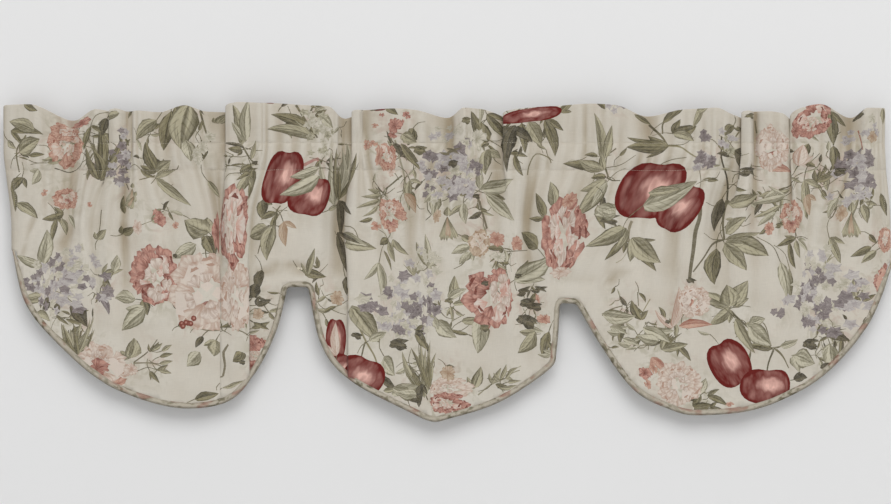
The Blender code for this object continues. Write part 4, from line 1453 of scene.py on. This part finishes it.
# What the second word of a node's kind sets
MODES = {"Attribute": "attribute_name", "MapRange": "interpolation_type", "Math": "operation",
         "Mix": "data_type", "TexNoise": "noise_dimensions", "UVMap": "uv_map",
         "VectorMath": "operation"}
SHADER = "Principled BSDF"


def grow(material, rows):
    """Add nodes: name, kind, inputs and settings. An input is a value, a hex colour or a node."""
    tree = material.node_tree
    for name, kind, inputs, *settings in rows:
        kind, _, mode = kind.partition(" ")
        node = tree.nodes.get(name) or tree.nodes.new("ShaderNode" + kind)
        node.name = name
        for setting, value in {MODES.get(kind): mode, **dict(*settings)}.items():
            if value != "":
                setattr(node, setting, value)
        sockets = [socket for socket in node.inputs if socket.enabled]
        if isinstance(inputs, dict):
            sockets = [node.inputs[socket] for socket in inputs]
            inputs = inputs.values()
        for socket, value in zip(sockets, inputs):
            if not isinstance(value, str):
                socket.default_value = value
            elif value[0] == "#":
                socket.default_value = linear(value)
            else:
                source, _, output = value.partition(":")
                outputs = [found for found in tree.nodes[source].outputs
                           if found.enabled and output in ("", found.name)]
                tree.links.new(outputs[0], socket)


def material_of(name, rows):
    material = bpy.data.materials.new(name)
    material.use_nodes = True
    grow(material, rows)
    return material


WEAVE_NODES = (
    ("flat", "UVMap cloth", []),
    # slubs of the plain weave, drawn 1 mm wide and 14 mm long so that they show
    ("across_run", "VectorMath MULTIPLY", ["flat", (70.0, 950.0, 1.0)]),
    ("down_run", "VectorMath MULTIPLY", ["flat", (950.0, 70.0, 1.0)]),
    ("weft", "TexNoise", ["across_run", 1.0, 1.0]),
    ("warp", "TexNoise", ["down_run", 1.0, 1.0]),
    ("weave", "Math ADD", ["weft", "warp"]),
    ("weave_tone", "MapRange", ["weave", 0.7, 1.3, 0.96, 1.03]),
    ("weave_bump", "Bump", {"Strength": 0.35, "Distance": 0.0004, "Height": "weave"}),
)


def brush_rows():
    """The brushwork inside each printed shape, from its own s and t and its kind."""
    rows = [
        ("local", "Attribute local", []),
        ("deep", "Attribute ink_deep", []),
        ("pale", "Attribute ink_pale", []),
        ("parts", "SeparateXYZ", ["local:Vector"]),
        ("kind", "Math FLOOR", ["parts:Z"]),
        ("side", "Math ABSOLUTE", ["parts:X"]),
        ("drawn", "VectorMath MULTIPLY", ["local:Vector", (2.4, 0.9, 37.0)]),
        ("brush", "TexNoise", ["drawn", 1.7, 2.0]),
        # petal: deep at its foot and along its rim
        ("foot", "MapRange SMOOTHSTEP", ["parts:Y", 0.0, 0.8, 0.85, 0.1]),
        ("rim", "MapRange SMOOTHSTEP", ["parts:Y", 0.86, 1.0, 0.0, 0.35]),
        ("flank", "MapRange SMOOTHSTEP", ["side", 0.75, 1.0, 0.0, 0.25]),
        ("petal_rim", "Math ADD", ["foot", "rim"]),
        ("petal", "Math ADD", ["petal_rim", "flank"]),
        # leaf: one half lighter, with a dark rib, slanting veins and edge
        ("half", "MapRange SMOOTHSTEP", ["parts:X", -0.06, 0.06, 0.0, 0.45]),
        ("rib", "MapRange SMOOTHSTEP", ["side", 0.02, 0.12, 0.5, 0.0]),
        ("edge", "MapRange SMOOTHSTEP", ["side", 0.7, 1.0, 0.0, 0.75]),
        ("slant", "Math MULTIPLY", ["side", -1.6]),
        ("run", "Math MULTIPLY_ADD", ["parts:Y", 6.0, "slant"]),
        ("vein_wave", "Math PINGPONG", ["run", 0.5]),
        ("vein", "MapRange SMOOTHSTEP", ["vein_wave", 0.34, 0.5, 0.0, 0.3]),
        ("leaf_rib", "Math ADD", ["half", "rib"]),
        ("leaf_edge", "Math ADD", ["leaf_rib", "edge"]),
        ("leaf", "Math ADD", ["leaf_edge", "vein"]),
        # fruit: a pale streaked light on its shoulder and a deep rim
        ("plane", "VectorMath MULTIPLY", ["local:Vector", (1.0, 1.0, 0.0)]),
        ("to_light", "VectorMath DISTANCE", ["plane", (0.12, 0.08, 0.0)]),
        ("streaked", "Math MULTIPLY_ADD", ["brush", -0.9, "to_light"]),
        ("light", "MapRange SMOOTHSTEP", ["streaked", -0.29, 0.06, 0.0, 0.8]),
        ("from_middle", "VectorMath LENGTH", ["plane"]),
        ("deep_rim", "MapRange SMOOTHSTEP", ["from_middle", 0.78, 1.0, 0.0, 0.4]),
        ("fruit", "Math ADD", ["light", "deep_rim"]),
        # floret: a deep eye and paler petals
        ("floret", "MapRange SMOOTHSTEP", ["parts:Y", 0.1, 0.5, 0.9, 0.25]),
    ]
    chosen = 0.0
    for number, kind in enumerate(("petal", "leaf", "fruit", "stem", "floret"), Chart.PETAL):
        depth = 0.5 if kind == "stem" else kind
        rows += [("is_" + kind, "Math COMPARE", ["kind", number, 0.5]),
                 ("or_" + kind, "Math MULTIPLY_ADD", ["is_" + kind, depth, chosen])]
        chosen = "or_" + kind
    return rows + [
        ("strength", "Math MULTIPLY_ADD", ["is_fruit", -0.26, 0.46]),
        ("swing", "MapRange", ["brush", 0.3, 0.7, -1.0, 1.0], {"clamp": False}),
        ("brushed", "Math MULTIPLY", ["swing", "strength"]),
        ("depth", "Math ADD", [chosen, "brushed"], {"use_clamp": True}),
        ("deeper", "Math POWER", ["depth", 0.62]),
        ("ink", "Mix RGBA", ["deeper", "pale", "deep"]),
        # the pigment lies thinner in patches 7 mm across and in the cloth's grain, 1.5 mm
        ("patches", "TexNoise", ["flat", 140.0, 2.0]),
        ("grain", "TexNoise", ["flat", 650.0, 1.0]),
        ("patch_cover", "MapRange", ["patches", 0.35, 0.6, 0.9, 1.0]),
        ("grain_cover", "MapRange", ["grain", 0.3, 0.6, 0.88, 1.0]),
        ("is_printed", "Math GREATER_THAN", ["kind", 0.5]),
        ("thin_cover", "Math MULTIPLY", ["patch_cover", "grain_cover"]),
        ("full_cover", "Math MAXIMUM", ["thin_cover", "is_fruit"]),
        ("cover", "Math MULTIPLY", ["full_cover", "is_printed"]),
    ]


def printed_cotton():
    """Plain-woven furnishing cotton with a matt pigment print: rough, with no shine."""
    return material_of("printed_cotton", (*WEAVE_NODES, *brush_rows(),
        ("stain", "TexNoise", ["flat", 16.0, 2.0]),
        ("clean", "Mix RGBA", ["stain", GROUND_COLOUR, GROUND_SHADE]),
        # painted shade: down in the folds, along the creases and towards the top the ground is
        # mixed with a warm darker colour that stands in for shade
        ("hollow", "Attribute hollow", []),
        ("warm", "Math MULTIPLY", ["hollow:Fac", 0.6]),
        ("ground", "Mix RGBA", ["warm", "clean", FOLD_SHADE_COLOUR]),
        # pale washes of colour lie round the motifs, in patches 18 mm across
        ("crowd", "Attribute wash", []),
        ("wash_noise", "TexNoise", {"Vector": "flat", "Scale": 55.0, "Detail": 4.0,
                                    "Distortion": 1.3}),
        ("wash_here", "MapRange SMOOTHSTEP", ["wash_noise", 0.46, 0.64, 0.0, 0.65]),
        ("wash", "Math MULTIPLY", ["crowd:Fac", "wash_here"]),
        ("wash_kind", "MapRange SMOOTHSTEP", ["stain", 0.48, 0.58]),
        ("wash_ink", "Mix RGBA", ["wash_kind", WASH_GREEN, WASH_ROSE]),
        ("washed", "Mix RGBA", ["wash", "ground", "wash_ink"]),
        ("printed", "Mix RGBA", ["cover", "washed", "ink"]),
        # painted light: the same fold shade value darkens print and ground in the dips and
        # lightens them a little on the crests
        ("fold_tone", "MapRange", ["hollow:Fac", -0.25, 1.2, 1.05, 0.74]),
        ("tone", "Math MULTIPLY", ["fold_tone", "weave_tone"]),
        ("toned", "VectorMath SCALE", ["printed", "tone"]),
        (SHADER, "", {"Base Color": "toned", "Roughness": 0.88, "IOR": 1.5,
                      "Specular IOR Level": 0.25, "Sheen Weight": 0.08,
                      "Sheen Roughness": 0.6, "Normal": "weave_bump"}),
    ))


def cotton_wrong_side():
    """The same cotton's back: unbleached, with the print only ghosting through."""
    return material_of("cotton_wrong_side", (*WEAVE_NODES,
        ("ghost", "Attribute ghost", []),
        ("printed", "Mix RGBA", [0.3, WRONG_SIDE_COLOUR, "ghost"]),
        ("toned", "VectorMath SCALE", ["printed", "weave_tone"]),
        (SHADER, "", {"Base Color": "toned", "Roughness": 0.9, "IOR": 1.5,
                      "Specular IOR Level": 0.2, "Normal": "weave_bump"}),
    ))


def bias_binding():
    """A strip of the same print cut on the slant, so its motifs cross it as slanting scraps."""
    return material_of("bias_binding", (
        ("flat", "UVMap strip", []),
        ("slanted", "Mapping", {"Vector": "flat", "Rotation": (0, 0, 0.5),
                                "Scale": (1.0, 1.8, 1.0)}),
        ("leaf_noise", "TexNoise", ["slanted", 100.0, 3.0]),
        ("rose_noise", "TexNoise 4D", ["slanted", 3.0, 34.0, 2.0]),
        # some stretches of the strip are busy with print and others nearly plain
        ("stretch", "TexNoise", ["flat", 14.0]),
        ("busy", "MapRange SMOOTHSTEP", ["stretch", 0.4, 0.6, 0.3, 0.95]),
        ("leaf_here", "MapRange SMOOTHSTEP", ["leaf_noise", 0.46, 0.62, 0.0, "busy"]),
        ("rose_here", "MapRange SMOOTHSTEP", ["rose_noise", 0.54, 0.66, 0.0, 0.6]),
        ("with_leaf", "Mix RGBA", ["leaf_here", BINDING_GROUND, BINDING_GREEN]),
        ("with_rose", "Mix RGBA", ["rose_here", "with_leaf", BINDING_ROSE]),
        # round the strip: painted shade greys its outer half, a painted highlight keeps the crest
        # light, and past the crest it is a little darker
        ("round", "SeparateXYZ", ["flat"]),
        ("worn", "MapRange SMOOTHSTEP", ["round:Y", 0.0035, 0.0062, 0.6, 1.0]),
        ("inner_line", "MapRange SMOOTHSTEP", ["round:Y", 0.0075, 0.0095, 1.0, 0.86]),
        ("thread_run", "VectorMath MULTIPLY", ["slanted", (950.0, 90.0, 1.0)]),
        ("thread", "TexNoise", ["thread_run", 1.0]),
        ("thread_tone", "MapRange", ["thread", 0.3, 0.7, 0.9, 1.06]),
        ("worn_tone", "Math MULTIPLY", ["thread_tone", "worn"]),
        ("tone", "Math MULTIPLY", ["worn_tone", "inner_line"]),
        ("toned", "VectorMath SCALE", ["with_rose", "tone"]),
        ("bump", "Bump", {"Strength": 0.3, "Distance": 0.0004, "Height": "thread"}),
        (SHADER, "", {"Base Color": "toned", "Roughness": 0.9, "IOR": 1.5,
                      "Specular IOR Level": 0.25, "Normal": "bump"}),
    ))


def cotton_thread():
    """Cream sewing cotton: mercerised, so a little smoother than the cloth."""
    return material_of("cotton_thread", (
        ("place", "TexCoord", []),
        ("twist", "TexNoise", ["place:Object", 900.0]),
        ("colour", "Mix RGBA", ["twist", "#B4AB99", "#CBC4B4"]),
        (SHADER, "", {"Base Color": "colour", "Roughness": 0.6, "IOR": 1.5}),
    ))


def matt_paint(name):
    """Matt emulsion paint, rolled, so it has only a faint tooth."""
    return material_of(name, (
        ("place", "TexCoord", []),
        ("roller", "TexNoise", ["place:Object", 300.0]),
        ("tooth", "Bump", {"Strength": 0.04, "Distance": 0.0003, "Height": "roller"}),
        (SHADER, "", {"Base Color": WALL_COLOUR, "Roughness": 0.95,
                      "Specular IOR Level": 0.1, "Normal": "tooth"}),
    ))


# ---- The room ----


def build_room():
    """A pale wall close behind the valance and a pale floor far below it."""
    wall_paint = matt_paint("wall_paint")
    grow(wall_paint, (      # the wall is open from behind, so that the back can be looked at
        ("facing", "NewGeometry", []),
        ("clear", "BsdfTransparent", []),
        ("either", "MixShader", ["facing:Backfacing", SHADER, "clear"]),
        ("Material Output", "", {"Surface": "either"}),
    ))
    for name, half_wide, places, paint in (
            ("wall", WALL_HALF, [(WALL_Y, FLOOR_Z), (WALL_Y, WALL_TOP)], wall_paint),
            ("floor", FLOOR_HALF, [(-FLOOR_HALF, FLOOR_Z), (FLOOR_HALF, FLOOR_Z)],
             matt_paint("floor_paint"))):
        (y0, z0), (y1, z1) = places
        corners = [(-half_wide, y0, z0), (half_wide, y0, z0), (half_wide, y1, z1),
                   (-half_wide, y1, z1)]
        add_piece(name, mesh_from(name, corners, [(0, 1, 2, 3)]), [paint])


def add_camera():
    data = bpy.data.cameras.new("camera")
    data.lens = 100
    data.clip_end = 50
    camera = add_to_scene("camera", data, CAMERA)
    camera.rotation_euler = (math.pi / 2, 0, 0)
    bpy.context.scene.camera = camera


def add_light():
    """One wide soft light, high in front, and an even glow from all round."""
    world = bpy.data.worlds.new("studio")
    world.use_nodes = True
    glow = world.node_tree.nodes["Background"].inputs
    glow[0].default_value = (1, 1, 1, 1)
    glow[1].default_value = WORLD_LIGHT
    bpy.context.scene.world = world
    data = bpy.data.lights.new("high_softbox", "AREA")
    data.shape, data.size, data.size_y = "RECTANGLE", *SOFTBOX_SIZE
    data.energy = SOFTBOX_POWER
    light = add_to_scene("high_softbox", data, SOFTBOX)
    light.rotation_euler = (Vector(SOFTBOX_AIM) - Vector(SOFTBOX)).to_track_quat(
        "-Z", "Y").to_euler()
    bpy.context.scene.view_settings.view_transform = "Standard"


def main():
    add_camera()
    lower_edge = LowerEdge()
    drape = Drape(lower_edge)
    cloth = build_cloth(drape)
    binding = build_binding(drape, lower_edge)
    stitching = build_stitching(drape)
    for piece, slot in ((cloth, "printed_cotton"), (binding, "bias_binding"),
                        (stitching, "printed_cotton")):
        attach(piece, "root")
    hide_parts("valance_panel")
    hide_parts("scallop_binding")
    x, y = (cut_outline(drape) * MM).T
    build_room()
    add_light()


main()
